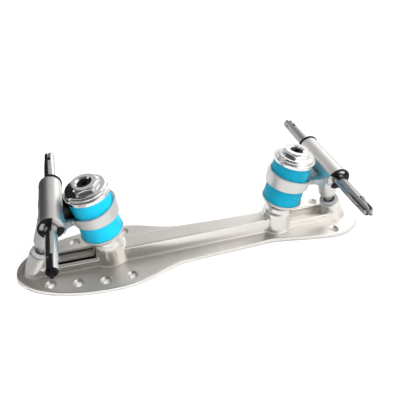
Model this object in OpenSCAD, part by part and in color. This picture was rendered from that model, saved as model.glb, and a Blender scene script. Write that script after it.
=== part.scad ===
// Quad roller skate plate with two cushioned trucks and quick-release axles.
// It lies on its sole face, toe towards -X, with both axles along Y.
// Lengths are in millimetres and angles in degrees.

/* [Overall] */
// Distance between the two axles
wheelbase = 180; // [160:1:220]
// Height of the axle centres above the sole face
axle_height = 53.4; // [51:0.2:58]

/* [Plate outline] */
// Thickness of the flange
flange_t = 3; // [2:0.25:4]
// Reach of the toe past the front axle
toe_reach = 31.5; // [28:0.5:45]
// Reach of the heel past the rear axle
heel_reach = 36.5; // [32:0.5:50]
// Half width at the ball of the foot
ball_half = 29.6; // [27:0.2:36]
// Distance of the widest place behind the front axle
ball_setback = 30; // [22:1:40]
// Distance of the waist's front end behind the front axle
waist_front_at = 81.5; // [70:0.5:90]
// Half width of the waist at its front end
waist_front_half = 17.6; // [15:0.2:22]
// Distance of the waist's rear end ahead of the rear axle
waist_rear_at = 41; // [30:0.5:55]
// Half width of the waist at its rear end
waist_rear_half = 15.2; // [13:0.2:20]
// Distance of the heel's widest place behind the rear axle
heel_at = 11.3; // [6:0.1:16]
// Half width at the heel
heel_half = 21.9; // [20:0.2:28]

/* [Rib and rails] */
// Width of the rib's foot at the front kingpin
rib_front_foot = 16.4; // [14:0.2:18]
// Width of the rib's foot at the rear kingpin
rib_rear_foot = 14.8; // [13:0.2:18]
// Width of the rib's top at the front kingpin
rib_front_top = 12.4; // [8:0.2:13]
// Width of the rib's top at the rear kingpin
rib_rear_top = 9.4; // [7:0.2:12]
// Height of the rib's top above the sole face
rib_h = 13.2; // [11:0.2:16]
// Height of the two rails that run from each kingpin to its pivot
rail_h = 9.2; // [6:0.2:12]
// Thickness of each rail
rail_wall = 2.6; // [1.5:0.1:4]

/* [Mounting holes] */
// Diameter of the screw holes
hole_d = 4.2; // [3.5:0.1:5]
// Diameter of the countersink at the flange's upper face
countersink_d = 7.2; // [6.4:0.1:8.4]
// Distance of the foremost pair of holes ahead of the front axle
front_hole_lead = 10; // [5:0.5:15]
// Pitch of the front pairs of holes
front_hole_pitch = 17.1; // [14:0.1:20]
// Half spacing of each front pair, from the toe back
front_hole_half = [16, 19.3, 21.7, 21.7]; // [14:0.1:23]
// Distance of the rear pair of holes behind the rear axle
rear_hole_setback = 10.5; // [5:0.5:14]
// Half spacing of the rear pair of holes
rear_hole_half = 16.6; // [14:0.1:17.2]

/* [Kingpin] */
// Distance from an axle to its kingpin, measured in the sole face
kingpin_setback = 31.5; // [30:0.5:36]
// Lean of the kingpin towards its axle, going up
kingpin_lean = 9; // [6:0.5:11]
// Diameter of the kingpin
kingpin_d = 8; // [6:0.5:9]
// Pitch of the kingpin's thread
thread_pitch = 1.25; // [0.75:0.25:1.5]
// Length of the kingpin inside its boss
kingpin_sunk = 17.5; // [12:0.5:18]
// Width across flats of the hex socket in the kingpin's end
socket_af = 4; // [3:0.5:4.5]
// Depth of the hex socket
socket_depth = 5; // [3:0.5:8]
// Height of the kingpin boss along its own axis
boss_h = 22.5; // [20:0.5:25]
// Diameter of the kingpin boss at its top
boss_top_d = 18; // [17:0.2:20]
// Diameter of the kingpin boss at the sole face
boss_base_d = 20.4; // [19:0.2:23]

/* [Cushion stack] */
// Height of the jam nut on the boss
jam_nut_h = 2.5; // [1.5:0.1:4]
// Width across flats of the jam nut
jam_nut_af = 15; // [12:0.5:15.5]
// Floor thickness of the seat washer
seat_floor = 2.4; // [1.5:0.1:4]
// Diameter of the seat washer
seat_d = 28.2; // [25:0.1:30]
// Height of the seat washer's lip above its floor
seat_lip = 1.5; // [0.5:0.1:2.5]
// Height of the lower cushion
lower_cushion_h = 15.3; // [14:0.1:17]
// Height of the upper cushion
upper_cushion_h = 14.6; // [12:0.1:16]
// Diameter of the retainer washer
retainer_d = 28.2; // [26:0.1:31]
// Floor thickness of the retainer washer
retainer_floor = 1.8; // [1:0.1:3]
// Height of the retainer's lip below its floor
retainer_lip = 1.4; // [0.5:0.1:2]
// Diameter of the adjusting nut's flange
nut_flange_d = 26; // [22:0.2:27]
// Thickness of the adjusting nut's flange
nut_flange_t = 2; // [1:0.1:3]
// Width across flats of the adjusting nut
nut_af = 17; // [14:0.5:19]
// Height of the adjusting nut's hexagon
nut_hex_h = 3.2; // [2:0.1:6]
// Depth of the kingpin's end below the top of the nut
kingpin_recess = 1; // [0.5:0.1:2]

/* [Hanger] */
// Outer diameter of the ring at its lower edge
ring_d = 29.6; // [27:0.1:33]
// Widening of the ring's radius from its lower edge to its highest place
ring_flare = 0.4; // [0:0.1:1]
// Wall of the ring
ring_wall = 1.7; // [1:0.1:1.9]
// Thickness of the web between the cushions
web_t = 2.4; // [2:0.1:4]
// Depth of the ring's skirt below the web
ring_skirt = 1.8; // [1:0.1:3]
// Height of the ring's rim above the web, at the kingpin
ring_rise = 4.5; // [3:0.1:6]
// Slope of the ring's rim, down towards the axle
rim_slope = 7; // [3:1:12]
// Radius of the saddle in the ring's outboard side
ring_saddle_r = 18; // [16:0.5:24]
// Diameter of the kingpin hole in the web
web_hole_d = 11; // [10.5:0.1:13]
// Diameter of the axle tube
tube_d = 13.7; // [12:0.1:15]
// Thickness of the arm's lips
arm_lip = 1.8; // [1.2:0.1:2.4]
// Radius of the dip between the ring and the axle tube
arm_dip_r = 10; // [8:0.5:12]
// Radius of the hollow in each side of the arm, in plan
arm_side_r = 17.2; // [15:0.2:19]
// Length of the axle tube
tube_len = 42.4; // [40:0.2:48]
// Diameter of the neck that carries the pivot pin
neck_d = 12; // [10.5:0.1:13.5]
// Diameter of the neck's lower end
neck_tip_d = 8.2; // [7.6:0.1:10]
// Length of the pivot pin that shows between the neck and the cup
pin_show = 3.4; // [2:0.1:5]

/* [Pivot] */
// Distance of the pivot's centre outboard of its axle
pivot_reach = 14.2; // [12:0.2:17]
// Height of the pivot's centre above the sole face
pivot_height = 13; // [12:0.2:16]
// Diameter of the pivot pin
pivot_pin_d = 6.2; // [5:0.1:6.6]
// Length of the pivot pin inside the neck
pin_sunk = 12; // [8:0.5:16]
// Gap between the pivot pin's tip and its cup
pivot_gap = 0.3; // [0.1:0.05:0.5]
// Height of the cup's rim above the pivot's centre
cup_rise = 6; // [5:0.2:8]
// Diameter of the cup's mouth
cup_mouth_d = 8.2; // [8:0.1:9]
// Diameter of the cup's sleeve
cup_sleeve_d = 10.4; // [10:0.1:11]
// Diameter of the cup's flange
cup_flange_d = 13.4; // [12:0.1:14]
// Thickness of the cup's flange
cup_flange_t = 1.6; // [1:0.1:2.5]
// Thickness of the cup's floor
cup_floor = 1.2; // [0.8:0.1:2]
// Diameter of the pivot boss at its top
pivot_boss_top_d = 14.2; // [14:0.1:16]
// Diameter of the pivot boss at the sole face
pivot_boss_base_d = 17.6; // [16:0.2:20]

/* [Axle and clips] */
// Diameter of the axle
axle_d = 7; // [6.5:0.1:8]
// Length of the axle
axle_len = 112.5; // [106:0.5:120]
// Chamfer of the axle's ends
axle_chamfer = 0.5; // [0.2:0.1:1]
// Relief of the axle's ends, from the latch's hook outwards
axle_relief = 0.2; // [0.15:0.05:0.3]
// Outer diameter of the retaining clips
clip_d = 14.8; // [13:0.1:16]
// Thickness of the retaining clips
clip_t = 1; // [0.6:0.1:1.5]
// Diameter of the clip's groove in the axle
groove_d = 5.6; // [5:0.1:6]
// Angle of the clip's open mouth
clip_mouth = 84; // [60:2:100]
// Diameter of the two windows in the clip
clip_window_d = 2.4; // [1.6:0.1:2.8]
// Turn of each front clip's mouth from the heel direction, upwards: left, right
front_clip_turn = [32, 140]; // [0:5:360]
// Turn of each rear clip's mouth from the heel direction, upwards: left, right
rear_clip_turn = [193, 300]; // [0:5:360]

/* [Latch] */
// Turn of the front latches from the heel direction, upwards
front_latch_turn = 90; // [-90:5:180]
// Turn of the rear latches from the heel direction, upwards
rear_latch_turn = 80; // [-90:5:180]
// Distance of the latch's pivot from the axle's end
latch_setback = 6; // [5:0.5:8]
// Length of the latch inboard of its pivot
latch_hook_len = 3.4; // [3:0.1:4]
// Length of the latch outboard of its pivot
latch_tip_len = 9; // [8:0.5:10]
// Thickness of the latch
latch_t = 1.8; // [1.2:0.1:2]
// Angle by which the latch turns when its tip is pressed
latch_press = 18; // [16:1:20]
// Diameter of the latch's pivot pin
latch_pin_d = 1.8; // [1.4:0.1:2]
// Thickness of the latch's leaf spring
spring_t = 0.25; // [0.15:0.05:0.3]

/* [Hidden] */
$fn = 64;
hull_fn = 32;
past = 1;
thread_gap = 0.05;
running_gap = 0.08;
cushion_gap = 0.2;
seat_play = 0.1;
side_play = 0.5;
slot_gap = 0.2;
lip_wall = 0.7;
washer_gap = 0.4;
arm_bite = 0.5;
outline_steps = 20;

front_x = -wheelbase / 2;
rear_x = wheelbase / 2;
FRONT = -1;
REAR = 1;
LEFT = -1;
RIGHT = 1;

// Places of the outline, with the length of the handle that bends each stretch
toe_end = [front_x - toe_reach, 0];
ball = [front_x + ball_setback, ball_half];
waist_front = [front_x + waist_front_at, waist_front_half];
waist_rear = [rear_x - waist_rear_at, waist_rear_half];
heel = [rear_x + heel_at, heel_half];
heel_end = [rear_x + heel_reach, 0];
toe_handle = 18.3;
ball_front_handle = 29.6;
ball_rear_handle = 24.4;
waist_front_handle = 15;
waist_rear_handle = 12.8;
heel_front_handle = 15;
heel_rear_handle = 12.9;
heel_end_handle = 12.7;

// Levels along the kingpin, measured from the sole face
jam_nut_at = boss_h;
seat_at = jam_nut_at + jam_nut_h;
lower_cushion_at = seat_at + seat_floor;
web_at = lower_cushion_at + lower_cushion_h + cushion_gap;
web_top = web_at + web_t;
ring_at = web_at - ring_skirt;
upper_cushion_at = web_top + cushion_gap;
retainer_at = upper_cushion_at + upper_cushion_h + cushion_gap;
nut_at = retainer_at + retainer_floor;
nut_top = nut_at + nut_flange_t + nut_hex_h;
kingpin_at = boss_h - kingpin_sunk;
kingpin_top = nut_top - kingpin_recess;
ring_top = web_top + ring_rise + tan(rim_slope) * ring_d / 2;

// Cushion diameters inside the seat washer's lip, the ring and the retainer's lip
seat_end_d = seat_d - 2 * (lip_wall + seat_play);
web_end_d = ring_d - 2 * (ring_wall + side_play);
retainer_end_d = retainer_d - 2 * (lip_wall + side_play);

// The pivot pin's axis runs from the pivot's centre up to the axle
pivot_lean = atan2(pivot_reach, axle_height - pivot_height);
pivot_len = norm([pivot_reach, axle_height - pivot_height]);
neck_end = cup_rise + pin_show;
neck_shoulder = (pivot_len + neck_end) / 2;
boss_rim = cup_rise - cup_flange_t;
cup_r = pivot_pin_d / 2 + pivot_gap;
cup_bottom = -(cup_r + cup_floor);

// The latch lies in a slot in the axle's end
latch_pivot_y = axle_len / 2 - latch_setback;
latch_pivot_u = 0.2;
latch_flush = axle_d / 2 - 0.3 - latch_pivot_u;
latch_ramp = latch_press - 1;
slot_w = latch_t + 2 * slot_gap;
slot_floor = -0.74 * axle_d / 2;
slot_inner = latch_hook_len + 1.6;
latch_heel = -1.5;
latch_keel = -2;
latch_nose = -0.9;
spring_foot = 0.4;
spring_crest = 1;
spring_ramp = 1.4;
clip_window_at = 130;
clip_window_in = 0.3;
latch_pin_len = 2 * sqrt(pow(axle_d / 2 - axle_relief, 2) - pow(latch_pivot_u + latch_pin_d / 2, 2)) - 0.1;

ENDS = [["front", FRONT], ["rear", REAR]];
SIDES = [["left", LEFT], ["right", RIGHT]];
TRUCK_NODES = ["kingpin", "jam_nut", "seat_washer", "lower_cushion", "upper_cushion", "retainer",
    "adjusting_nut", "pivot_cup", "hanger", "pivot_pin", "axle"];
CORNER_NODES = ["clip", "latch", "latch_pin", "latch_spring"];
NODES = concat(["plate"],
    [for (e = ENDS, n = TRUCK_NODES) str(e[0], "_", n)],
    [for (e = ENDS, s = SIDES, n = CORNER_NODES) str(e[0], "_", s[0], "_", n)]);
node = "all";

satin_silver = [0.74, 0.73, 0.71];
hanger_grey = [0.86, 0.86, 0.85];
chrome_silver = [0.8, 0.8, 0.82];
steel_grey = [0.5, 0.51, 0.53];
black_steel = [0.1, 0.1, 0.11];
cushion_blue = [0.1, 0.68, 0.87];
cup_grey = [0.6, 0.6, 0.64];

// Points of a cubic curve, without its last point
function bend(a, b, c, d) = [for (i = [0 : outline_steps - 1])
    let (t = i / outline_steps, s = 1 - t)
    s * s * s * a + 3 * s * s * t * b + 3 * s * t * t * c + t * t * t * d];

// Half outline from the toe's end to the heel's end
function half_outline() =
    let (along = (waist_rear - waist_front) / norm(waist_rear - waist_front))
    concat(
        bend(toe_end, toe_end + [0, toe_handle], ball - [ball_front_handle, 0], ball),
        bend(ball, ball + [ball_rear_handle, 0], waist_front - waist_front_handle * along, waist_front),
        bend(waist_rear, waist_rear + waist_rear_handle * along, heel - [heel_front_handle, 0], heel),
        bend(heel, heel + [heel_rear_handle, 0], heel_end + [0, heel_end_handle], heel_end),
        [heel_end]);

// Whole outline: the half outline and its mirror image
function outline() = let (half = half_outline(), last = len(half) - 1)
    concat(half, [for (i = [last - 1 : -1 : 1]) [half[i].x, -half[i].y]]);

// Places the children on a kingpin's axis, with z measured up it from the sole face
module at_kingpin(end) {
    translate([end * (wheelbase / 2 - kingpin_setback), 0, 0])
        rotate([0, end * kingpin_lean, 0]) children();
}

// Places the children on a pivot pin's axis, with z measured up it from the pivot's centre
module at_pivot(end) {
    translate([end * (wheelbase / 2 + pivot_reach), 0, pivot_height])
        rotate([0, -end * pivot_lean, 0]) children();
}

// Places the children on an axle, with z along +Y
module at_axle(end) {
    translate([end * wheelbase / 2, 0, axle_height]) rotate([-90, 0, 0]) children();
}

// Places the children at a latch: x outward along the axle, y towards the hook, z across the slot
module at_latch(end, side) {
    turn = end == FRONT ? front_latch_turn : rear_latch_turn;
    translate([end * wheelbase / 2, 0, axle_height]) rotate([0, -turn, 0])
        multmatrix([[0, 1, 0, latch_pivot_u], [side, 0, 0, side * latch_pivot_y], [0, 0, -side, 0]])
            children();
}

// Removes what reaches below the sole face
module above_sole() {
    difference() {
        children();
        translate([0, 0, -wheelbase]) cube(2 * wheelbase, center = true);
    }
}

module hexagon(across_flats, height) {
    cylinder(d = across_flats / cos(30), h = height, $fn = 6);
}

module screw_hole(x, y) {
    translate([x, y, 0]) {
        translate([0, 0, -past]) cylinder(d = hole_d, h = flange_t + 2 * past);
        translate([0, 0, flange_t - (countersink_d - hole_d) / 2])
            cylinder(d1 = hole_d, d2 = countersink_d, h = (countersink_d - hole_d) / 2);
        translate([0, 0, flange_t]) cylinder(d = countersink_d, h = past);
    }
}

// Rib with sloping sides that tapers from the front kingpin to the rear one
module rib() {
    kingpin_x = wheelbase / 2 - kingpin_setback;
    slice = 0.1;
    hull() for (s = [[-kingpin_x, rib_front_foot / 2, rib_front_top / 2],
            [kingpin_x - slice, rib_rear_foot / 2, rib_rear_top / 2]])
        translate([s[0], 0, 0]) rotate([90, 0, 90]) linear_extrude(slice)
            polygon([[-s[1], 0], [s[1], 0], [s[2], rib_h], [-s[2], rib_h]]);
}

module rails(end) {
    inner_x = wheelbase / 2 - kingpin_setback;
    outer_x = wheelbase / 2 + pivot_reach;
    width = end == FRONT ? rib_front_foot : rib_rear_foot;
    for (side = [LEFT, RIGHT])
        translate([end * (inner_x + outer_x) / 2, side * (width - rail_wall) / 2, rail_h / 2])
            cube([outer_x - inner_x, rail_wall, rail_h], center = true);
}

module kingpin_boss(end) {
    slope = (boss_base_d - boss_top_d) / boss_h;
    at_kingpin(end) translate([0, 0, -boss_h / 2])
        cylinder(d1 = boss_base_d + slope * boss_h / 2, d2 = boss_top_d, h = boss_h * 1.5);
}

module pivot_boss(end) {
    depth = 2 * pivot_height;
    base = pivot_height / cos(pivot_lean);
    slope = (pivot_boss_base_d - pivot_boss_top_d) / (base + boss_rim);
    at_pivot(end) translate([0, 0, -depth])
        cylinder(d1 = pivot_boss_top_d + slope * (depth + boss_rim), d2 = pivot_boss_top_d, h = depth + boss_rim);
}

module plate() {
    color(satin_silver) difference() {
        above_sole() {
            linear_extrude(flange_t) polygon(outline());
            rib();
            for (end = [FRONT, REAR]) {
                rails(end);
                kingpin_boss(end);
                pivot_boss(end);
            }
        }
        for (end = [FRONT, REAR]) {
            at_kingpin(end) translate([0, 0, kingpin_at]) cylinder(d = kingpin_d + 2 * thread_gap, h = boss_h);
            at_pivot(end) translate([0, 0, cup_bottom - thread_gap])
                cylinder(d = cup_sleeve_d + 2 * thread_gap, h = boss_rim - cup_bottom + past);
        }
        for (i = [0 : len(front_hole_half) - 1], side = [LEFT, RIGHT])
            screw_hole(front_x - front_hole_lead + i * front_hole_pitch, side * front_hole_half[i]);
        for (side = [LEFT, RIGHT]) screw_hole(rear_x + rear_hole_setback, side * rear_hole_half);
    }
}

module kingpin(end) {
    chamfer = thread_pitch / 2;
    color(steel_grey) at_kingpin(end) difference() {
        union() {
            translate([0, 0, kingpin_at]) cylinder(d = kingpin_d, h = kingpin_top - chamfer - kingpin_at);
            translate([0, 0, kingpin_top - chamfer])
                cylinder(d1 = kingpin_d, d2 = kingpin_d - 2 * chamfer, h = chamfer);
        }
        translate([0, 0, kingpin_top - socket_depth]) hexagon(socket_af, socket_depth + past);
    }
}

module jam_nut(end) {
    color(steel_grey) at_kingpin(end) translate([0, 0, jam_nut_at]) difference() {
        hexagon(jam_nut_af, jam_nut_h);
        translate([0, 0, -past]) cylinder(d = kingpin_d + 2 * thread_gap, h = jam_nut_h + 2 * past);
    }
}

module seat_washer(end) {
    color(hanger_grey) at_kingpin(end) translate([0, 0, seat_at]) rotate_extrude()
        polygon([[kingpin_d / 2 + thread_gap, 0], [seat_d / 2 - seat_floor, 0], [seat_d / 2, seat_floor],
            [seat_d / 2, seat_floor + seat_lip], [seat_d / 2 - lip_wall, seat_floor + seat_lip],
            [seat_d / 2 - lip_wall, seat_floor], [kingpin_d / 2 + thread_gap, seat_floor]]);
}

// A cushion that tapers from its washer to the web, bored for the kingpin
module cushion(height, bottom_d, top_d) {
    rounding = 0.8;
    bore = kingpin_d / 2 + washer_gap;
    color(cushion_blue) rotate_extrude()
        polygon([[bore, 0], [bottom_d / 2 - rounding, 0], [bottom_d / 2, rounding],
            [top_d / 2, height - rounding], [top_d / 2 - rounding, height], [bore, height]]);
}

module lower_cushion(end) {
    at_kingpin(end) translate([0, 0, lower_cushion_at]) cushion(lower_cushion_h, seat_end_d, web_end_d);
}

module upper_cushion(end) {
    at_kingpin(end) translate([0, 0, upper_cushion_at]) cushion(upper_cushion_h, web_end_d, retainer_end_d);
}

module retainer(end) {
    chamfer = retainer_floor / 3;
    color(chrome_silver) at_kingpin(end) translate([0, 0, retainer_at]) rotate_extrude()
        polygon([[kingpin_d / 2 + washer_gap, 0], [retainer_d / 2 - lip_wall, 0],
            [retainer_d / 2 - lip_wall, -retainer_lip], [retainer_d / 2, -retainer_lip],
            [retainer_d / 2, retainer_floor - chamfer], [retainer_d / 2 - chamfer, retainer_floor],
            [kingpin_d / 2 + washer_gap, retainer_floor]]);
}

module adjusting_nut(end) {
    chamfer = nut_flange_t / 2;
    corner = nut_af / cos(30) / 2;
    color(chrome_silver) at_kingpin(end) translate([0, 0, nut_at]) difference() {
        union() {
            cylinder(d = nut_flange_d, h = nut_flange_t - chamfer);
            translate([0, 0, nut_flange_t - chamfer])
                cylinder(d1 = nut_flange_d, d2 = nut_flange_d - 2 * chamfer, h = chamfer);
            intersection() {
                hexagon(nut_af, nut_flange_t + nut_hex_h);
                cylinder(r1 = corner + nut_flange_t + nut_hex_h, r2 = nut_af / 2 - 0.4,
                    h = nut_flange_t + nut_hex_h);
            }
        }
        translate([0, 0, -past]) cylinder(d = kingpin_d + 2 * running_gap, h = nut_top - nut_at + 2 * past);
    }
}

module pivot_cup(end) {
    color(cup_grey) at_pivot(end) difference() {
        union() {
            translate([0, 0, cup_bottom]) cylinder(d = cup_sleeve_d, h = cup_rise - cup_bottom);
            translate([0, 0, boss_rim]) cylinder(d = cup_flange_d, h = cup_flange_t);
        }
        sphere(r = cup_r);
        cylinder(r1 = cup_r, r2 = cup_mouth_d / 2, h = cup_rise);
        translate([0, 0, cup_rise]) cylinder(d = cup_mouth_d, h = past);
    }
}

// Ring with a sloping rim, before the cushion seats are cut
module ring(end) {
    difference() {
        at_kingpin(end) translate([0, 0, ring_at])
            cylinder(d1 = ring_d, d2 = ring_d + 2 * ring_flare, h = ring_top - ring_at);
        at_kingpin(end) translate([0, 0, web_top + ring_rise]) rotate([0, end * rim_slope, 0])
            translate([-ring_d, -ring_d, 0]) cube(2 * ring_d);
        at_kingpin(end) translate([0, 0, web_top + ring_saddle_r]) rotate([0, end * 90, 0])
            cylinder(r = ring_saddle_r, h = ring_d);
    }
}

// Upright cylinders that hollow out the two sides of the arm
module arm_sides(end, radius) {
    for (side = [LEFT, RIGHT])
        translate([end * (wheelbase / 2 - tube_d / 2 + arm_bite - arm_side_r), side * (tube_len / 2 - arm_lip), 0])
            cylinder(r = radius, h = 2 * axle_height);
}

// Arm from the ring to the axle tube, waisted in plan and scooped out between two lips
module arm(end) {
    rod_d = tube_d / 2;
    rod_len = tube_len - 2 * arm_lip;
    rod_drop = tube_d / 7;
    difference() {
        hull() {
            at_kingpin(end) translate([0, 0, web_at])
                cylinder(d = ring_d - arm_lip, h = web_t, $fn = hull_fn);
            translate([-end * rod_drop, 0, -rod_drop]) at_axle(end)
                cylinder(d = rod_d, h = rod_len, center = true, $fn = hull_fn);
        }
        difference() {
            hull() {
                at_kingpin(end) translate([0, 0, (web_at + web_top) / 2])
                    cylinder(d = ring_d - 4 * arm_lip, h = ring_d / 2, $fn = hull_fn);
                translate([-end * rod_drop, 0, 0]) at_axle(end)
                    cylinder(d = rod_d, h = rod_len - 2 * arm_lip, center = true, $fn = hull_fn);
            }
            arm_sides(end, arm_side_r + arm_lip);
        }
        arm_sides(end, arm_side_r);
        translate([-end * (arm_dip_r + tube_d / 2 - arm_bite), 0, 0]) at_axle(end)
            cylinder(r = arm_dip_r, h = tube_len + 2 * past, center = true);
    }
}

// Neck from the axle tube down to the pivot pin
module neck(end) {
    knuckle = neck_tip_d / 4;
    at_pivot(end) rotate_extrude()
        polygon([[0, neck_end], [neck_tip_d / 2, neck_end], [neck_tip_d / 2 + knuckle, neck_end + 2 * knuckle],
            [neck_d / 2, neck_shoulder], [neck_d / 2, pivot_len], [0, pivot_len]]);
}

module hanger(end) {
    pocket_d = ring_d - 2 * ring_wall;
    color(hanger_grey) difference() {
        union() {
            arm(end);
            ring(end);
            neck(end);
            at_axle(end) cylinder(d = tube_d, h = tube_len, center = true);
        }
        at_kingpin(end) {
            translate([0, 0, ring_at - past]) cylinder(d = pocket_d, h = ring_skirt + past);
            translate([0, 0, web_top]) cylinder(d = pocket_d, h = ring_top - web_top + past);
            translate([0, 0, ring_at - past]) cylinder(d = web_hole_d, h = ring_top - ring_at);
        }
        at_axle(end) cylinder(d = axle_d + 2 * thread_gap, h = tube_len + 2 * past, center = true);
        at_pivot(end) translate([0, 0, neck_end - past])
            cylinder(d = pivot_pin_d + 2 * thread_gap, h = pin_sunk + past);
    }
}

module pivot_pin(end) {
    color(steel_grey) at_pivot(end) {
        cylinder(d = pivot_pin_d, h = neck_end + pin_sunk);
        sphere(d = pivot_pin_d);
    }
}

module axle(end) {
    half = axle_len / 2;
    r = axle_d / 2;
    end_r = r - axle_relief;
    seat = latch_pivot_y - latch_hook_len;
    groove_r = groove_d / 2;
    groove_in = tube_len / 2;
    groove_out = groove_in + clip_t + 2 * thread_gap;
    profile = [[r, groove_in], [groove_r, groove_in], [groove_r, groove_out], [r, groove_out], [r, seat],
        [end_r, seat], [end_r, half - axle_chamfer], [end_r - axle_chamfer, half], [0, half]];
    color(steel_grey) difference() {
        at_axle(end) rotate_extrude()
            polygon(concat([for (i = [len(profile) - 1 : -1 : 0]) [profile[i].x, -profile[i].y]], profile));
        for (side = [LEFT, RIGHT]) at_latch(end, side) {
            translate([-slot_inner, slot_floor - latch_pivot_u, -slot_w / 2])
                cube([slot_inner + latch_setback + past, axle_d, slot_w]);
            cylinder(d = latch_pin_d + 2 * thread_gap, h = axle_d + past, center = true);
        }
    }
}

// Open retaining clip: a flat crescent with two windows, snapped into the axle's groove
module clip(end, side) {
    turns = end == FRONT ? front_clip_turn : rear_clip_turn;
    window_r = (clip_d + groove_d) / 4 - clip_window_in;
    color(black_steel)
        translate([end * wheelbase / 2, side * (tube_len / 2 + thread_gap), axle_height]) rotate([90, 0, 0])
            translate([0, 0, side == RIGHT ? -clip_t : 0]) linear_extrude(clip_t)
                rotate(side == LEFT ? turns[0] : turns[1]) difference() {
                    circle(d = clip_d);
                    circle(d = groove_d + 2 * thread_gap);
                    polygon([[0, 0], clip_d * [cos(clip_mouth / 2), sin(clip_mouth / 2)],
                        clip_d * [cos(clip_mouth / 2), -sin(clip_mouth / 2)]]);
                    for (turn = [-clip_window_at, clip_window_at])
                        rotate(turn) translate([window_r, 0]) circle(d = clip_window_d);
                }
}

// Height of the latch's top edge at a place along it, flush with the axle once pressed
function latch_top(v) = (latch_flush - v * sin(latch_ramp)) / cos(latch_ramp);

module latch(end, side) {
    color(black_steel) at_latch(end, side) difference() {
        translate([0, 0, -latch_t / 2]) linear_extrude(latch_t)
            polygon([[-latch_hook_len, latch_heel], [latch_setback - 2, latch_keel], [latch_tip_len, latch_nose],
                [latch_tip_len, latch_top(latch_tip_len)], [-latch_hook_len, latch_top(-latch_hook_len)]]);
        cylinder(d = latch_pin_d + 2 * running_gap, h = axle_d, center = true);
    }
}

module latch_pin(end, side) {
    color(steel_grey) at_latch(end, side) cylinder(d = latch_pin_d, h = latch_pin_len, center = true);
}

// Leaf spring in the slot, bent up under the latch's hook end
module latch_spring(end, side) {
    floor_u = slot_floor - latch_pivot_u + thread_gap;
    crest_u = latch_heel - 2 * thread_gap - spring_t;
    inner = slot_gap - slot_inner;
    crest = spring_foot - latch_hook_len;
    outer = crest + spring_crest + spring_ramp;
    path = [[inner, floor_u], [inner + spring_foot, floor_u], [crest, crest_u], [crest + spring_crest, crest_u],
        [outer, floor_u], [outer + 2 * spring_foot, floor_u]];
    color(steel_grey) at_latch(end, side) translate([0, 0, -latch_t / 2]) linear_extrude(latch_t)
        polygon(concat(path, [for (i = [len(path) - 1 : -1 : 0]) path[i] + [0, spring_t]]));
}

function shown(name) = node == "all" || node == name;

if (shown("plate")) plate();
for (e = ENDS) {
    if (shown(str(e[0], "_kingpin"))) kingpin(e[1]);
    if (shown(str(e[0], "_jam_nut"))) jam_nut(e[1]);
    if (shown(str(e[0], "_seat_washer"))) seat_washer(e[1]);
    if (shown(str(e[0], "_lower_cushion"))) lower_cushion(e[1]);
    if (shown(str(e[0], "_upper_cushion"))) upper_cushion(e[1]);
    if (shown(str(e[0], "_retainer"))) retainer(e[1]);
    if (shown(str(e[0], "_adjusting_nut"))) adjusting_nut(e[1]);
    if (shown(str(e[0], "_pivot_cup"))) pivot_cup(e[1]);
    if (shown(str(e[0], "_hanger"))) hanger(e[1]);
    if (shown(str(e[0], "_pivot_pin"))) pivot_pin(e[1]);
    if (shown(str(e[0], "_axle"))) axle(e[1]);
    for (s = SIDES) {
        if (shown(str(e[0], "_", s[0], "_clip"))) clip(e[1], s[1]);
        if (shown(str(e[0], "_", s[0], "_latch"))) latch(e[1], s[1]);
        if (shown(str(e[0], "_", s[0], "_latch_pin"))) latch_pin(e[1], s[1]);
        if (shown(str(e[0], "_", s[0], "_latch_spring"))) latch_spring(e[1], s[1]);
    }
}
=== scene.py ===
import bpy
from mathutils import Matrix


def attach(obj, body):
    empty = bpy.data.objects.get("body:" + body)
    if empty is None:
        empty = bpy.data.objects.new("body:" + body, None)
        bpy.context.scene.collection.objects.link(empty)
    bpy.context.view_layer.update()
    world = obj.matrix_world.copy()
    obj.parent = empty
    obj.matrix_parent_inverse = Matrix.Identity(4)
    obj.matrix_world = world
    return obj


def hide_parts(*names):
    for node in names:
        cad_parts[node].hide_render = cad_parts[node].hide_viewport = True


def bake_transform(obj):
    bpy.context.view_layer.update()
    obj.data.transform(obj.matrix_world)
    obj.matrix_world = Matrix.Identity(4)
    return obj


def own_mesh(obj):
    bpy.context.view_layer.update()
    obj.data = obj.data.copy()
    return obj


bl_info = {
    "name": "Roller Skate Plate",
    "version": (1, 0, 0),
    "blender": (4, 5, 0),
    "location": "3D View > Sidebar > Skate Plate",
    "description": "Dresses a quad skate plate: castings, cushion stacks, axles, finishes and stage",
    "category": "Object",
}

from math import acos, atan2, cos, hypot, pi, radians, sin, tan

import bmesh
import bpy
import numpy as np
from mathutils import Matrix, Vector

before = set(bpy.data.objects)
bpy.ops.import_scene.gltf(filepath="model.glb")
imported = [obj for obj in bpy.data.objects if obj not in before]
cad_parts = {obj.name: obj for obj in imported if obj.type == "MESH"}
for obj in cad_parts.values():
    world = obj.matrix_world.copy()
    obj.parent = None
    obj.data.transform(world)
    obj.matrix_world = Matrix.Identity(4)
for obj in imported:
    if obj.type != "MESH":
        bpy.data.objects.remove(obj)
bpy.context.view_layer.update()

# Lengths in millimetres; the toe points to -X and the sole face lies at Z = 0
MM = 0.001
FRONT = -1
REAR = 1
ENDS = (("front", FRONT), ("rear", REAR))
SIDES = (("left", -1), ("right", 1))
CORNERS = [(name + "_" + sname, name, end, side) for name, end in ENDS for sname, side in SIDES]

# Points round a turned piece, degrees from which an edge is crisp, and play between pieces
AROUND = 96
CREASE = 32.0
SLIP = 0.05

# Where the trucks stand on the plate
AXLE_X = 90.0
AXLE_Z = 53.4
KINGPIN_X = 58.5
KINGPIN_LEAN = radians(9)
PIVOT_X = 104.2
PIVOT_Z = 13.0
PIVOT_LEAN = atan2(PIVOT_X - AXLE_X, AXLE_Z - PIVOT_Z)
PIVOT_LEN = hypot(PIVOT_X - AXLE_X, AXLE_Z - PIVOT_Z)

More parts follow.
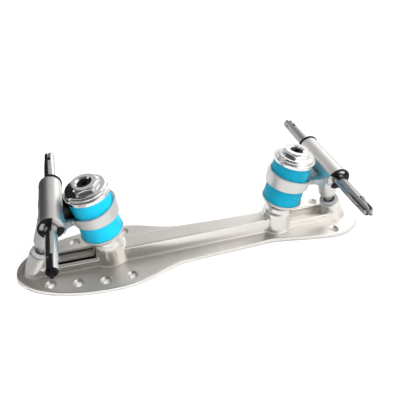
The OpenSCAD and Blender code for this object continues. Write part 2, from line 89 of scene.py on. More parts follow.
# Plate; pairs run from front to rear, and a COS turns an offset from a slanting face into a distance
FLANGE_T = 3.0
OUTLINE_POINTS = ((-121.5, 0.0), (-60.0, 29.6), (-8.5, 17.6), (49.0, 15.2), (101.3, 21.9), (126.5, 0.0))
RIB_H = 13.2
RIB_FOOT = (8.2, 7.4)
RIB_TOP = (6.2, 4.7)
RIB_COS = 0.985
RAIL_H = 9.2
RAIL_Y = {FRONT: 6.9, REAR: 6.1}
RAIL_HALF_T = 1.3
RAIL_X = 81.35
RAIL_HALF_LEN = 22.85
BOSS_H = 22.5
BOSS_R = 10.2
BOSS_TAPER = 0.05333
BOSS_COS = 0.9986
FLARE_X = 61.0
FLARE_R = 11.0
FLARE_TAPER = 0.075
FLARE_TOP = 19.0
SOCKET_TOP = 4.4
SOCKET_R = 7.1
SOCKET_TAPER = 0.0935
SOCKET_COS = 0.9956
SOCKET_BORE_R = 5.25
SOCKET_BORE_FLOOR = -4.65
HOLE_R = 2.1
COUNTERSINK_R = 3.6
SCREW_HOLES = ((-100.0, 16.0), (-82.9, 19.3), (-65.8, 21.7), (-48.7, 21.7), (100.5, 16.6))
# Strip of painted shadow on the front channel's floor, between the rails
CHANNEL_X = (-99.0, -70.0)
CHANNEL_HALF = 2.8
CHANNEL_Z = 4.4
PLATE_BOX = ((-123.4, -31.6, -1.3), (128.4, 31.6, 24.2))
# Reach of the painted shadow under the plate past its outline
UNDER_MARGIN = 0.5

# Hanger, drawn at the rear; a BACK is a slanting plane, as x and z of a point and of its normal
RING_R = 14.8
RING_BORE_R = 13.1
RING_Z = (41.1, 49.8)
RING_WEB_Z = (42.9, 45.3)
RING_TAPER = 0.038
RIM_SLOPE = radians(7)
SADDLE_R = 18.0
SADDLE_Z = 63.3
ARM_X = 62.27
ARM_HALF = 13.77
ARM_SPREAD = 0.219
ARM_SPREAD_COS = 0.977
ARM_TOP_X = 51.86
ARM_TOP_Z = 46.9
ARM_RISE = 0.224
ARM_RISE_COS = 0.976
ARM_SIDE = (66.45, 19.4)
ARM_SIDE_R = 17.2
ARM_INSET = 0.9
ARM_BACK = (78.9, 40.2, 0.605, 0.797)
ARM_END = 88.04
ARM_HOLLOW_X = 73.65
ARM_HOLLOW_R = 10.0
SCOOP_X = 63.7
SCOOP_HALF = 11.27
SCOOP_SPREAD = 0.2
SCOOP_SPREAD_COS = 0.98
SCOOP_R = 11.2
SCOOP_FLOOR_Z = 44.1
SCOOP_SIDE_R = 19.0
SCOOP_BACK = (76.46, 41.8, 0.545, 0.839)
TUBE_R = 6.85
TUBE_HALF = 21.2
TUBE_TRIM = 0.06
NECK_T = (9.4, 13.5, 26.1, 42.8)
NECK_R = (4.1, 6.15, 6.0, 6.0)
NECK_COS = 0.93
WEB_BORE_R = 5.5
HANGER_BOX = ((47.5, -22.6, 19.0), (107.5, 22.6, 62.0))

# Heights along the kingpin and radii of the cushion stack
KINGPIN_R = 4.0
KINGPIN_FOOT = 5.0
KINGPIN_TOP = 66.3
KEY_ACROSS = 4.0
KEY_DEPTH = 5.0
THREAD_FOOT = 5.8
THREAD_LEN = 59.5
THREAD_DEPTH = 0.36
JAM_NUT_Z = (22.52, 24.98)
JAM_NUT_ACROSS = 15.0
CUP_R = 14.1
CUP_WALL_R = 13.4
CUP_BORE_R = 4.1
SEAT_Z = (25.0, 27.4, 28.9)
RETAINER_BORE_R = 4.4
RETAINER_Z = (58.9, 60.3, 62.1)
CUSHIONS = (("lower", 27.4, 42.7, 13.3, 12.6), ("upper", 45.5, 60.1, 12.6, 12.9))
CUSHION_BORE_R = 4.5
CUSHION_STEPS = 22
NUT_FLANGE_R = 13.0
NUT_BORE_R = 4.08
NUT_ACROSS = 17.0
NUT_FACE_R = 8.0
NUT_Z = (62.1, 64.5, 67.3)

# Pivot cups and pins, about the pivot's centre
CUP_BOWL_R = 3.4
CUP_PLUG_R = 5.2
CUP_LIP_R = 6.7
CUP_FLOOR = -4.6
CUP_LIP_Z = (4.4, 6.0)
PIN_R = 3.1
PIN_TOP = 21.4

# Axles, clips and latches
AXLE_R = 3.5
AXLE_TIP_R = 3.3
AXLE_HALF = 56.25
AXLE_STEP = (46.85, 46.95)
AXLE_BEVEL = 0.55
GROOVE_R = 2.8
GROOVE_W = 1.1
CLIP_T = 1.0
CLIP_R = 7.4
CLIP_BORE_R = 2.85
CLIP_MOUTH = radians(42)
CLIP_SLOT_R = 5.0
CLIP_SLOT_HALF = 1.25
CLIP_SLOT_AT = radians(125)
CLIP_SLOT_REACH = radians(22)
CLIP_TURN = {"front_left": 32.0, "front_right": 140.0, "rear_left": 193.0, "rear_right": 300.0}
LATCH_TURN = {FRONT: 90.0, REAR: 80.0}
LATCH_Y = 50.25
LATCH_U = 0.2
LATCH_T = 1.8
LATCH_BODY = ((-3.4, -1.5), (4.0, -2.0), (9.0, -0.9), (9.0, 0.385), (-3.4, 4.177))
LATCH_HOLE_R = 0.98
LATCH_PIN_R = 0.9
LATCH_PIN_HALF = 3.2
SLOT_LOW = (-5.0, -2.79, -1.1)
SLOT_HIGH = (8.0, 5.0, 1.1)
PIN_BORE_R = 0.95
PIN_BORE_HALF = 5
LEAF_PATH = ((-4.8, -2.74), (-4.4, -2.74), (-3.0, -1.85), (-2.0, -1.85), (-0.6, -2.74), (0.2, -2.74))
LEAF_T = 0.25
LEAF_W = 1.7

# Finishes: scale and detail of mottling, ranges of values, fades in metres and colours
MOTTLE = (90, 4)
NOISE_RANGE = (0.3, 0.7)
GLOSS_RANGE = (0.85, 1.15)
# Ambient occlusion over which the painted corner shade runs
CORNER_RANGE = (0.4, 0.8)
SIDE_RANGE = (0.3, 0.9)
# Where, in metres, the painted corner shade fades towards the heel
HEEL_SHADE_FADE = (-0.03, 0.05)
END_FADE = 0.0002
METAL_RELIEF = 0.35
# Colour of the painted shade on the front axle's ends
END_SHADE = (0.02, 0.02, 0.021, 1)
# Colour of the painted shadow where an attribute marks a hollow
SHADE = (0.004, 0.004, 0.004, 1)
WHITE = (1, 1, 1, 1)

# Stage in metres and degrees. A card has bearings from the far side, elevations, a distance and its
# brightness at left and right; a flag has points, faces and each point's brightness; a lamp has its
# place, target, size and spread
CARDS = (("grey_back", (-70, 12), (26, 90), 0.7, 0.42, 0.56),
         ("pale_back", (12, 28), (26, 90), 0.7, 0.55, 0.5),
         ("heel_back", (28, 60), (26, 90), 0.7, 0.5, 2.6),
         ("white_strip", (13, 40), (3, 22), 0.6, 2.2, 2.2),
         ("front_strip", (170, 192), (26, 44), 0.55, 2.2, 2.2),
         ("dim_front", (165, 275), (10, 90), 0.6, 0.16, 0.1),
         ("dim_above", (95, 276), (52, 90), 0.58, 0.45, 0.1))
CARD_STEPS = 12
FLAGS = (
    ("dark_toe_flag",
     ((-0.6, 0.13, 0), (-0.115, 0.13, 0), (-0.115, 0.13, 0.12), (-0.122, 0.13, 0.24), (-0.6, 0.13, 0.3)),
     ((0, 1, 2, 3, 4),), (0.01, 0.02, 0.02, 0.02, 0.01)),
    ("white_heel_flag", ((0.09, -0.14, 0.06), (0.3, -0.14, 0.06), (0.3, -0.14, 0.26), (0.09, -0.14, 0.26)),
     ((0, 1, 2, 3),), (1.8, 1.8, 1.8, 1.8)),
    ("grey_toe_floor",
     ((-0.3, -0.25, 0.0005), (-0.085, -0.25, 0.0005), (-0.085, -0.032, 0.0005), (-0.3, -0.032, 0.0005),
      (-0.122, -0.032, 0.0005), (-0.122, 0.1, 0.0005), (-0.3, 0.1, 0.0005)),
     ((0, 1, 2, 4, 3), (3, 4, 5, 6)), (0.35, 0.7, 0.7, 0.35, 0.5, 0.5, 0.35)))
LAMPS = (("key", (0.9, -0.6, 1.4), (0, 0, 0.03), 0.9, 180),
         ("front_key", (0.14, -0.28, 0.3), (-0.066, 0, 0.042), 0.12, 30),
         ("fill", (-0.5, -0.9, 1.2), (0, 0, 0.03), 0.9, 180))
FLOOR_REACH = 3.0
FLOOR_Z = -0.0002
FLOOR_TONE = (0.6, 0.6, 0.6, 1)
FLOOR_GLOW = 0.4
CAMERA_GLOW = 0.25
# Height and glow of the darker sheet under the plate, a painted shadow
UNDER_Z = -0.0001
UNDER_GLOW = 0.2


def unit(v):
    return v / np.linalg.norm(v)


def framed(turn, origin):
    """Place with an origin and its axes as the columns of a turn."""
    place = np.eye(4)
    place[:3, :3] = turn
    place[:3, 3] = origin
    return place


def leaning(x, z, lean):
    """Place on the plate's middle whose local z leans towards +X."""
    s = sin(lean)
    c = cos(lean)
    return framed([[c, 0, s], [0, 1, 0], [-s, 0, c]], (x, 0, z))


def kingpin_place(end):
    """Local z runs up the kingpin from the sole face, local x points along the plate."""
    return leaning(end * KINGPIN_X, 0, end * KINGPIN_LEAN)


def pivot_place(end):
    """Local z runs up the pivot pin from the pivot's centre."""
    return leaning(end * PIVOT_X, PIVOT_Z, -end * PIVOT_LEAN)


def axle_place(end):
    """Local z runs along the axle towards the right side."""
    return framed([[1, 0, 0], [0, 0, 1], [0, -1, 0]], (end * AXLE_X, 0, AXLE_Z))


def latch_place(end, side):
    """Local x runs out along the axle, y towards the hook, z across the slot."""
    a = radians(LATCH_TURN[end])
    c = cos(a)
    s = sin(a)
    spin = np.array([[c, 0, -s], [0, 1, 0], [s, 0, c]])
    local = np.array([[0, 1, 0], [side, 0, 0], [0, 0, -side]])
    pin = spin @ np.array([LATCH_U, side * LATCH_Y, 0])
    return framed(spin @ local, pin + np.array([end * AXLE_X, 0, AXLE_Z]))


def clip_place(end, side):
    """Local x and y lie in the clip's face, against the end of the hanger's tube."""
    origin = (end * AXLE_X, side * (TUBE_HALF + SLIP + CLIP_T / 2), AXLE_Z)
    return framed([[1, 0, 0], [0, 0, -1], [0, 1, 0]], origin)


def moved(points, place):
    return np.asarray(points) @ place[:3, :3].T + place[:3, 3]


# Distance fields of the castings

def join(a, b, r):
    """Union with a fillet of radius r."""
    return np.maximum(r, np.minimum(a, b)) - np.hypot(np.maximum(r - a, 0), np.maximum(r - b, 0))


def meet(a, b, r):
    """Intersection with its edge rounded to radius r."""
    return np.minimum(-r, np.maximum(a, b)) + np.hypot(np.maximum(r + a, 0), np.maximum(r + b, 0))


def along(p, place):
    """Distance from an axis, height along it and the offset along its local x."""
    d = p - place[:3, 3]
    t = d @ place[:3, 2]
    u = d @ place[:3, 0]
    v = d @ place[:3, 1]
    return np.hypot(u, v), t, u


def halved(p):
    """Coordinates of points, with both sides of the plate laid on one."""
    return p[:, 0], np.abs(p[:, 1]), p[:, 2]


def slant(x, z, plane):
    """Distance from a slanting plane."""
    return (x - plane[0]) * plane[2] - (z - plane[1]) * plane[3]


def bend(a, b, c, d, steps=16):
    """Points of a cubic curve, without the last one."""
    t = np.linspace(0, 1, steps, endpoint=False)[:, None]
    s = 1 - t
    return s ** 3 * a + 3 * s * s * t * b + 3 * s * t * t * c + t ** 3 * d


def half_outline():
    """Right half of the flange's outline from the toe to the heel."""
    toe, ball, waist_front, waist_rear, heel, end = np.array(OUTLINE_POINTS)
    run = unit(waist_rear - waist_front)
    x, y = np.eye(2)
    return np.concatenate([
        bend(toe, toe + 18.3 * y, ball - 29.6 * x, ball),
        bend(ball, ball + 24.4 * x, waist_front - 15 * run, waist_front),
        bend(waist_rear, waist_rear + 12.8 * run, heel - 15 * x, heel),
        bend(heel, heel + 12.9 * x, end + 12.7 * y, end),
        [end]])


OUTLINE = half_outline()


def outline_gap(x, y):
    """Signed distance to the flange's outline in plan, for y of one half."""
    near = np.full(len(x), 1e9)
    for a, b in zip(OUTLINE[:-1], OUTLINE[1:]):
        d = b - a
        t = np.clip(((x - a[0]) * d[0] + (y - a[1]) * d[1]) / (d @ d), 0, 1)
        near = np.minimum(near, (x - a[0] - t * d[0]) ** 2 + (y - a[1] - t * d[1]) ** 2)
    edge = np.interp(x, OUTLINE[:, 0], OUTLINE[:, 1], left=-1.0, right=-1.0)
    return np.where(y < edge, -1, 1) * np.sqrt(near)


def plate_field(p, rounding, fillet):
    """Flange, rib, rails and bosses of the plate as one casting."""
    x, y, z = halved(p)
    flange = meet(outline_gap(x, y), z - FLANGE_T, rounding)
    s = np.clip((x + KINGPIN_X) / (2 * KINGPIN_X), 0, 1)
    foot = RIB_FOOT[0] + (RIB_FOOT[1] - RIB_FOOT[0]) * s
    top = RIB_TOP[0] + (RIB_TOP[1] - RIB_TOP[0]) * s
    rib = meet((y - foot - (top - foot) * z / RIB_H) * RIB_COS, z - RIB_H, r=0.8)
    rib = np.maximum(rib, np.abs(x) - KINGPIN_X)
    rail_y = np.where(x < 0, RAIL_Y[FRONT], RAIL_Y[REAR])
    rail = meet(np.abs(y - rail_y) - RAIL_HALF_T, z - RAIL_H, r=1.2)
    rail = np.maximum(rail, np.abs(np.abs(x) - RAIL_X) - RAIL_HALF_LEN)
    for end in (FRONT, REAR):
        q, t, _ = along(p, kingpin_place(end))
        boss = meet((q - BOSS_R + BOSS_TAPER * t) * BOSS_COS, t - BOSS_H, r=0.7)
        flare = np.hypot(x - end * FLARE_X, y) - FLARE_R + FLARE_TAPER * (z - FLANGE_T)
        boss = join(boss, meet(flare, z - FLARE_TOP, r=2.0), r=1.5)
        rib = join(rib, boss, fillet)
    solid = join(join(flange, rib, r=1.0), rail, r=0.8)
    for end in (FRONT, REAR):
        q, t, _ = along(p, pivot_place(end))
        boss = (q - SOCKET_R - SOCKET_TAPER * (SOCKET_TOP - t)) * SOCKET_COS
        solid = join(solid, meet(boss, t - SOCKET_TOP, r=0.6), r=0.8)
    for end in (FRONT, REAR):
        q, t, _ = along(p, kingpin_place(end))
        solid = meet(solid, -np.maximum(q - KINGPIN_R - SLIP, KINGPIN_FOOT - t), r=0.2)
        q, t, _ = along(p, pivot_place(end))
        solid = meet(solid, -np.maximum(q - SOCKET_BORE_R, SOCKET_BORE_FLOOR - t), r=0.2)
    return meet(solid, -z, r=0.3)


def neck_profile(q, t):
    """Neck from the axle tube down to its narrow tip, about the pivot pin's axis."""
    r = np.interp(t, NECK_T, NECK_R)
    tip = meet((q - r) * NECK_COS, NECK_T[0] - t, r=0.6)
    return np.maximum(tip, t - PIVOT_LEN)


def arm_sides(x, y, radius):
    """Upright cylinders that hollow out the sides of the rear hanger's arm."""
    return np.hypot(x - ARM_SIDE[0], y - ARM_SIDE[1]) - radius


def scoop_field(p, q, t):
    """Hollow in the rear hanger's arm, open to the ring."""
    x, y, z = halved(p)
    side = (y - SCOOP_HALF - SCOOP_SPREAD * (x - SCOOP_X)) * SCOOP_SPREAD_COS
    scoop = np.minimum(np.maximum(side, SCOOP_X - x), q - SCOOP_R)
    scoop = meet(scoop, slant(x, z, SCOOP_BACK), r=2.5)
    scoop = meet(scoop, SCOOP_FLOOR_Z - t, r=0.6)
    return meet(scoop, -arm_sides(x, y, SCOOP_SIDE_R), r=1.0)


def arm_height(x, z):
    """Height over the sloping top of the rear hanger's arm."""
    return z - ARM_TOP_Z - ARM_RISE * (x - ARM_TOP_X)


def hanger_field(p, fillet):
    """Rear hanger: ring with a saddle, waisted and scooped arm, axle tube and neck."""
    x, y, z = halved(p)
    q, t, u = along(p, kingpin_place(REAR))
    rim = (t - RING_Z[1] + tan(RIM_SLOPE) * u) * cos(RIM_SLOPE)
    ring = meet(q - RING_R - RING_TAPER * (t - RING_Z[0]), rim, r=0.5)
    ring = meet(ring, RING_Z[0] - t, r=0.6)
    saddle = np.minimum(SADDLE_R - np.hypot(y, t - SADDLE_Z), u)
    ring = meet(ring, saddle, r=0.4)
    side = (y - ARM_HALF - ARM_SPREAD * (x - ARM_X)) * ARM_SPREAD_COS
    arm = np.minimum(np.maximum(side, ARM_X - x), q - RING_R + ARM_INSET)
    arm = meet(arm, arm_height(x, z) * ARM_RISE_COS, r=0.5)
    arm = meet(arm, slant(x, z, ARM_BACK), r=1.2)
    arm = np.maximum(np.maximum(arm, RING_WEB_Z[0] - t), x - ARM_END)
    arm = meet(arm, -scoop_field(p, q, t), r=0.5)
    arm = meet(arm, -arm_sides(x, y, ARM_SIDE_R), r=0.8)
    arm = meet(arm, ARM_HOLLOW_R - np.hypot(x - ARM_HOLLOW_X, z - AXLE_Z), r=0.5)
    away = np.hypot(x - AXLE_X, z - AXLE_Z)
    tube = meet(away - TUBE_R, y - TUBE_HALF + TUBE_TRIM, r=0.6)
    qn, tn, _ = along(p, pivot_place(REAR))
    solid = join(join(ring, arm, r=1.0), tube, fillet)
    solid = join(solid, neck_profile(qn, tn), fillet)
    solid = meet(solid, -meet(q - RING_BORE_R, RING_WEB_Z[1] - t, r=0.5), r=0.3)
    solid = meet(solid, -meet(q - RING_BORE_R, t - RING_WEB_Z[0], r=0.5), r=0.3)
    solid = meet(solid, WEB_BORE_R - q, r=0.3)
    return meet(solid, AXLE_R + SLIP - away, r=0.25)


def pocket_depth(p):
    """0 to 1 from the rear hanger's arm down into the pocket between ring and tube, the mask of a painted
    shadow.
    """
    q, t, _ = along(p, kingpin_place(REAR))
    near = np.clip((0.4 - scoop_field(p, q, t)) / 0.3, 0, 1)
    return near * np.clip((0.2 - arm_height(p[:, 0], p[:, 2])) / 0.8, 0, 1)


def channel_depth(p):
    """0 to 1 from the front rails down to the middle of the channel between them, the mask of a painted
    shadow on its floor.
    """
    x, y, z = halved(p)
    run = np.clip(x - CHANNEL_X[0], 0, 1) * np.clip(CHANNEL_X[1] - x, 0, 1)
    return run * np.clip((CHANNEL_HALF - y) / 0.5, 0, 1) * np.clip((CHANNEL_Z - z) / 0.6, 0, 1)


def gradient(field, p, step=0.02):
    g = np.empty_like(p)
    for axis in range(3):
        d = np.zeros(3)
        d[axis] = step
        g[:, axis] = (field(p + d) - field(p - d)) / (2 * step)
    return g


def cast(field, low, high, cell):
    """Closed quad mesh of a distance field, its points drawn onto the surface."""
    low = np.array(low, float)
    counts = np.ceil((np.array(high) - low) / cell).astype(int) + 1
    axes = [low[i] + cell * np.arange(counts[i]) for i in range(3)]
    grid = np.stack(np.meshgrid(*axes, indexing="ij"), -1).reshape(-1, 3)
    value = np.concatenate([field(part) for part in np.array_split(grid, 16)]).reshape(counts)
    inside = value < 0
    nx, ny, nz = counts - 1
    corners = list(np.ndindex(2, 2, 2))
    full = sum(inside[i:i + nx, j:j + ny, k:k + nz].astype(np.int8) for i, j, k in corners)
    cells = np.argwhere((full > 0) & (full < len(corners)))
    crossing = np.zeros((len(cells), 3))
    hits = np.zeros(len(cells))
    for corner in corners:
        for axis in range(3):
            if corner[axis]:
                continue
            step = np.eye(3, dtype=int)[axis]
            va = value[tuple((cells + corner).T)]
            vb = value[tuple((cells + corner + step).T)]
            crossed = (va < 0) != (vb < 0)
            t = np.where(crossed, va / np.where(crossed, va - vb, 1), 0)
            crossing += (np.array(corner) + t[:, None] * step) * crossed[:, None]
            hits += crossed
    verts = low + cell * (cells + crossing / hits[:, None])
    ids = np.full((nx, ny, nz), -1)
    ids[tuple(cells.T)] = np.arange(len(cells))
    quads = []
    for axis in range(3):
        u = (axis + 1) % 3
        v = (axis + 2) % 3
        edges = np.argwhere(np.diff(inside, axis=axis))
        around = []
        for du, dv in ((1, 1), (0, 1), (0, 0), (1, 0)):
            c = edges.copy()
            c[:, u] -= du
            c[:, v] -= dv
            around.append(ids[tuple(c.T)])
        quad = np.stack(around, 1)
        back = ~inside[tuple(edges.T)]
        quad[back] = quad[back][:, ::-1]
        quads.append(quad)
    for _ in range(4):
        g = gradient(field, verts)
        steep = np.maximum((g * g).sum(1), 0.05)
        step = (field(verts) / steep)[:, None] * g
        size = np.linalg.norm(step, axis=1, keepdims=True)
        verts -= step * np.minimum(1, 0.4 * cell / np.maximum(size, 1e-9))
    return verts, np.concatenate(quads)


# Meshes

def linked(name, data):
    """New object in the scene."""
    obj = bpy.data.objects.new(name, data)
    bpy.context.scene.collection.objects.link(obj)
    return obj


def sheet(name, points, faces):
    """Object at the origin from points in metres."""
    mesh = bpy.data.meshes.new(name)
    mesh.from_pydata(points, [], faces)
    mesh.update()
    return linked(name, mesh)


def new_object(name, verts, faces, place=None):
    """Object at the origin from quads on points in millimetres."""
    points = np.asarray(verts, float)
    if place is not None:
        points = moved(points, place)
    return sheet(name, (points * MM).tolist(), np.asarray(faces).tolist())


def points_of(obj):
    return np.array([v.co[:] for v in obj.data.vertices])


def put_points(obj, points, place):
    """Moves an object's points, given in millimetres, to a place."""
    obj.data.vertices.foreach_set("co", (moved(points, place) * MM).ravel())
    obj.data.update()


def mark(obj, name, values):
    """Stores a value per point for a finish to read."""
    obj.data.attributes.new(name, "FLOAT", "POINT").data.foreach_set("value", values)


def clean(obj, crease=CREASE):
    """Merges doubles, turns faces outwards and shades smooth with crisp edges."""
    bm = bmesh.new()
    bm.from_mesh(obj.data)
    bmesh.ops.remove_doubles(bm, verts=bm.verts, dist=1e-7)
    bmesh.ops.dissolve_degenerate(bm, edges=bm.edges, dist=1e-8)
    bmesh.ops.recalc_face_normals(bm, faces=bm.faces)
    bm.to_mesh(obj.data)
    bm.free()
    obj.data.shade_smooth()
    if crease:
        obj.data.set_sharp_from_angle(angle=radians(crease))
    return obj


def bake(obj):
    """Gives an object the plain mesh of its evaluated self, without modifiers."""
    graph = bpy.context.evaluated_depsgraph_get()
    graph.update()
    mesh = bpy.data.meshes.new_from_object(obj.evaluated_get(graph))
    mesh.name = obj.name
    if obj.type == "MESH":
        old = obj.data
        obj.modifiers.clear()
        obj.data = mesh
        bpy.data.meshes.remove(old)
        return obj
    name = obj.name
    bpy.data.objects.remove(obj)
    return linked(name, mesh)


def cut(obj, cutter):
    """Takes a cutter's shape out of an object and removes the cutter."""
    change = obj.modifiers.new("cut", "BOOLEAN")
    change.operation = "DIFFERENCE"
    change.solver = "EXACT"
    change.object = cutter
    bake(obj)
    bpy.data.objects.remove(cutter)


def merge(obj, other):
    """Joins another object's mesh into an object."""
    bm = bmesh.new()
    bm.from_mesh(obj.data)
    bm.from_mesh(other.data)
    bpy.data.objects.remove(other)
    bm.to_mesh(obj.data)
    bm.free()


def skin(rows, loop):
    """Quads between rings of equally many points."""
    here = np.arange(len(rows) * len(rows[0])).reshape(len(rows), -1)
    beyond = np.roll(here, -1, 0)
    faces = np.stack([here, np.roll(here, -1, 1), np.roll(beyond, -1, 1), beyond], -1)
    return np.concatenate(rows), (faces if loop else faces[:-1]).reshape(-1, 4)


def rounded(corners, closed, steps=5):
    """Profile of (r, z, fillet) corners with every fillet drawn as an arc."""
    out = []
    count = len(corners)
    for i, (r, z, fillet) in enumerate(corners):
        here = np.array([r, z])
        if fillet <= 0 or (not closed and i in (0, count - 1)):
            out.append(here)
            continue
        before = np.array(corners[i - 1][:2]) - here
        after = np.array(corners[(i + 1) % count][:2]) - here
        ua = unit(before)
        ub = unit(after)
        half = 0.5 * acos(np.clip(ua @ ub, -1, 1))
        room = 0.48 * min(np.linalg.norm(before), np.linalg.norm(after))
        reach = min(fillet / tan(half), room)
        radius = reach * tan(half)
        centre = here + unit(ua + ub) * radius / sin(half)
        a = atan2(*(here + ua * reach - centre)[::-1])
        b = atan2(*(here + ub * reach - centre)[::-1])
        turn = (b - a + pi) % (2 * pi) - pi
        for k in range(steps + 1):
            angle = a + turn * k / steps
            out.append(centre + radius * np.array([cos(angle), sin(angle)]))
    return out


def circle(r, z, count=AROUND):
    """Ring of points, its radius one number or one for each point."""
    a = np.arange(count) * 2 * pi / count
    return np.stack([r * np.cos(a), r * np.sin(a), np.full(count, float(z))], 1)


def circles(profile, count=AROUND):
    return [circle(r, z, count) for r, z in profile]


def hexagon(across, z, corner=0.0):
    """Ring of points on a hexagon with slightly rounded corners."""
    a = np.arange(AROUND) * 2 * pi / AROUND
    off = np.abs((a + pi / 6) % (pi / 3) - pi / 6)
    r = across / 2 / np.cos(pi / 6 - off)
    return circle(np.minimum(r, across / 2 / cos(pi / 6) - corner), z)


def turned(name, rows, closed, place, crease=CREASE):
    """Piece from rings of points about a place's axis."""
    return clean(new_object(name, *skin(rows, closed), place), crease)


def lathe(name, corners, place, closed=True, count=AROUND):
    """Piece turned from a profile of (r, z, fillet) corners."""
    return turned(name, circles(rounded(corners, closed), count), closed, place)


def slab(name, loops, thick, bevel, place):
    """Flat plate from closed outlines, the first one outside, with small bevels."""
    curve = bpy.data.curves.new(name, "CURVE")
    curve.dimensions = "2D"
    curve.fill_mode = "BOTH"
    curve.extrude = thick / 2 - bevel
    curve.bevel_depth = bevel
    curve.bevel_resolution = 2
    curve.offset = -bevel
    for loop in loops:
        spline = curve.splines.new("POLY")
        spline.points.add(len(loop) - 1)
        for point, (px, py) in zip(spline.points, loop):
            point.co = (px, py, 0, 1)
        spline.use_cyclic_u = True
    obj = bake(linked(name, curve))
    bpy.data.curves.remove(curve)
    put_points(obj, points_of(obj), place)
    return clean(obj, 40)


def settle(obj, finish, body, stands_for):
    """Gives a piece its finish and its body, and hides the node that it stands for."""
    obj.data.materials.clear()
    obj.data.materials.append(finish_of(finish))
    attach(obj, body)
    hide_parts(stands_for)


# Nodes

def feed(tree, target, inputs):
    """Links or sets a node's inputs."""
    for key, value in inputs.items():
        if isinstance(value, bpy.types.NodeSocket):
            tree.links.new(value, target.inputs[key])
        else:
            target.inputs[key].default_value = value


def node(tree, kind, inputs=None, **settings):
    """New node with its settings and inputs."""
    made = tree.nodes.new(kind)
    for key, value in settings.items():
        setattr(made, key, value)
    feed(tree, made, inputs or {})
    return made


def maths(tree, operation, *values):
    return node(tree, "ShaderNodeMath", dict(enumerate(values)), operation=operation).outputs[0]


def new_tree(name, sockets):
    """Geometry node tree with named inputs, their identifiers and their sockets in the tree."""
    tree = bpy.data.node_groups.new(name, "GeometryNodeTree")
    tree.interface.new_socket("Geometry", in_out="INPUT", socket_type="NodeSocketGeometry")
    keys = {}
    for title, kind in sockets.items():
        keys[title] = tree.interface.new_socket(title, in_out="INPUT", socket_type=kind).identifier
    tree.interface.new_socket("Geometry", in_out="OUTPUT", socket_type="NodeSocketGeometry")
    return tree, keys, node(tree, "NodeGroupInput").outputs


def end_tree(tree, shape, finish):
    """Makes a tree's shape real, gives it its finish and hands it out."""
    real = node(tree, "GeometryNodeRealizeInstances", {"Geometry": shape})
    paint = node(tree, "GeometryNodeSetMaterial", {"Geometry": real.outputs["Geometry"], "Material": finish})
    node(tree, "NodeGroupOutput", {"Geometry": paint.outputs["Geometry"]})


def hole_tree():
    """Copies of a cutter on the points of a mesh."""
    tree, keys, given = new_tree("screw_holes", {
        "Cutter": "NodeSocketObject", "Finish": "NodeSocketMaterial"})
    cutter = node(tree, "GeometryNodeObjectInfo", {"Object": given["Cutter"]})
    copies = node(tree, "GeometryNodeInstanceOnPoints", {
        "Points": given["Geometry"], "Instance": cutter.outputs["Geometry"]})
    end_tree(tree, copies.outputs["Instances"], given["Finish"])
    return tree, keys


def thread_tree():
    """Ridge of a screw thread: a round profile swept along a helix."""
    tree, keys, given = new_tree("screw_thread", {
        "Radius": "NodeSocketFloat", "Pitch": "NodeSocketFloat", "Length": "NodeSocketFloat",
        "Finish": "NodeSocketMaterial"})
    helix = node(tree, "GeometryNodeCurveSpiral", {
        "Resolution": 40, "Rotations": maths(tree, "DIVIDE", given["Length"], given["Pitch"]),
        "Start Radius": given["Radius"], "End Radius": given["Radius"], "Height": given["Length"]})
    ridge = node(tree, "GeometryNodeCurvePrimitiveCircle", {
        "Resolution": 8, "Radius": maths(tree, "MULTIPLY", given["Pitch"], THREAD_DEPTH)})
    sweep = node(tree, "GeometryNodeCurveToMesh", {
        "Curve": helix.outputs["Curve"], "Profile Curve": ridge.outputs["Curve"], "Fill Caps": True})
    end_tree(tree, sweep.outputs["Mesh"], given["Finish"])
    return tree, keys


def grown(name, points, tree, keys, values):
    """Plain mesh that a node tree makes on a set of points."""
    obj = sheet(name, points, [])
    grow = obj.modifiers.new("grow", "NODES")
    grow.node_group = tree
    for title, value in values.items():
        grow[keys[title]] = value
    return bake(obj)


# Finishes

def blank(name):
    finish = bpy.data.materials.new(name)
    finish.use_nodes = True
    tree = finish.node_tree
    return finish, tree, tree.nodes["Principled BSDF"], node(tree, "ShaderNodeTexCoord").outputs["Object"]


def grain(tree, coord, scale, detail=3.0, stretch=None):
    """Noise on the object's own coordinates, drawn out along one axis if asked."""
    if stretch:
        coord = node(tree, "ShaderNodeMapping", {"Vector": coord, "Scale": stretch}).outputs["Vector"]
    noise = node(tree, "ShaderNodeTexNoise", {"Vector": coord, "Scale": scale, "Detail": detail})
    return noise.outputs["Fac"]


def ramp(tree, value, span, low, high):
    """Value carried from a span to the range between low and high."""
    inputs = {"Value": value, "From Min": span[0], "From Max": span[1], "To Min": low, "To Max": high}
    return node(tree, "ShaderNodeMapRange", inputs).outputs["Result"]


def mixed(tree, factor, first, second, kind="MIX"):
    """Colour mixed from two colours."""
    return node(tree, "ShaderNodeMix", {0: factor, 6: first, 7: second}, data_type="RGBA",
                blend_type=kind).outputs[2]


def part_of(tree, vector, axis):
    return node(tree, "ShaderNodeSeparateXYZ", {"Vector": vector}).outputs[axis]


def toned(colour, factor):
    return (colour[0] * factor, colour[1] * factor, colour[2] * factor, 1.0)


def shades(tree, value, colour, dark, light):
    """Colour between two of its tones by a noise value."""
    factor = ramp(tree, value, NOISE_RANGE, 0, 1)
    return mixed(tree, factor, toned(colour, dark), toned(colour, light))


def bump(tree, shader, value, depth, strength):
    relief = node(tree, "ShaderNodeBump", {"Height": value, "Distance": depth, "Strength": strength})
    feed(tree, shader, {"Normal": relief.outputs["Normal"]})


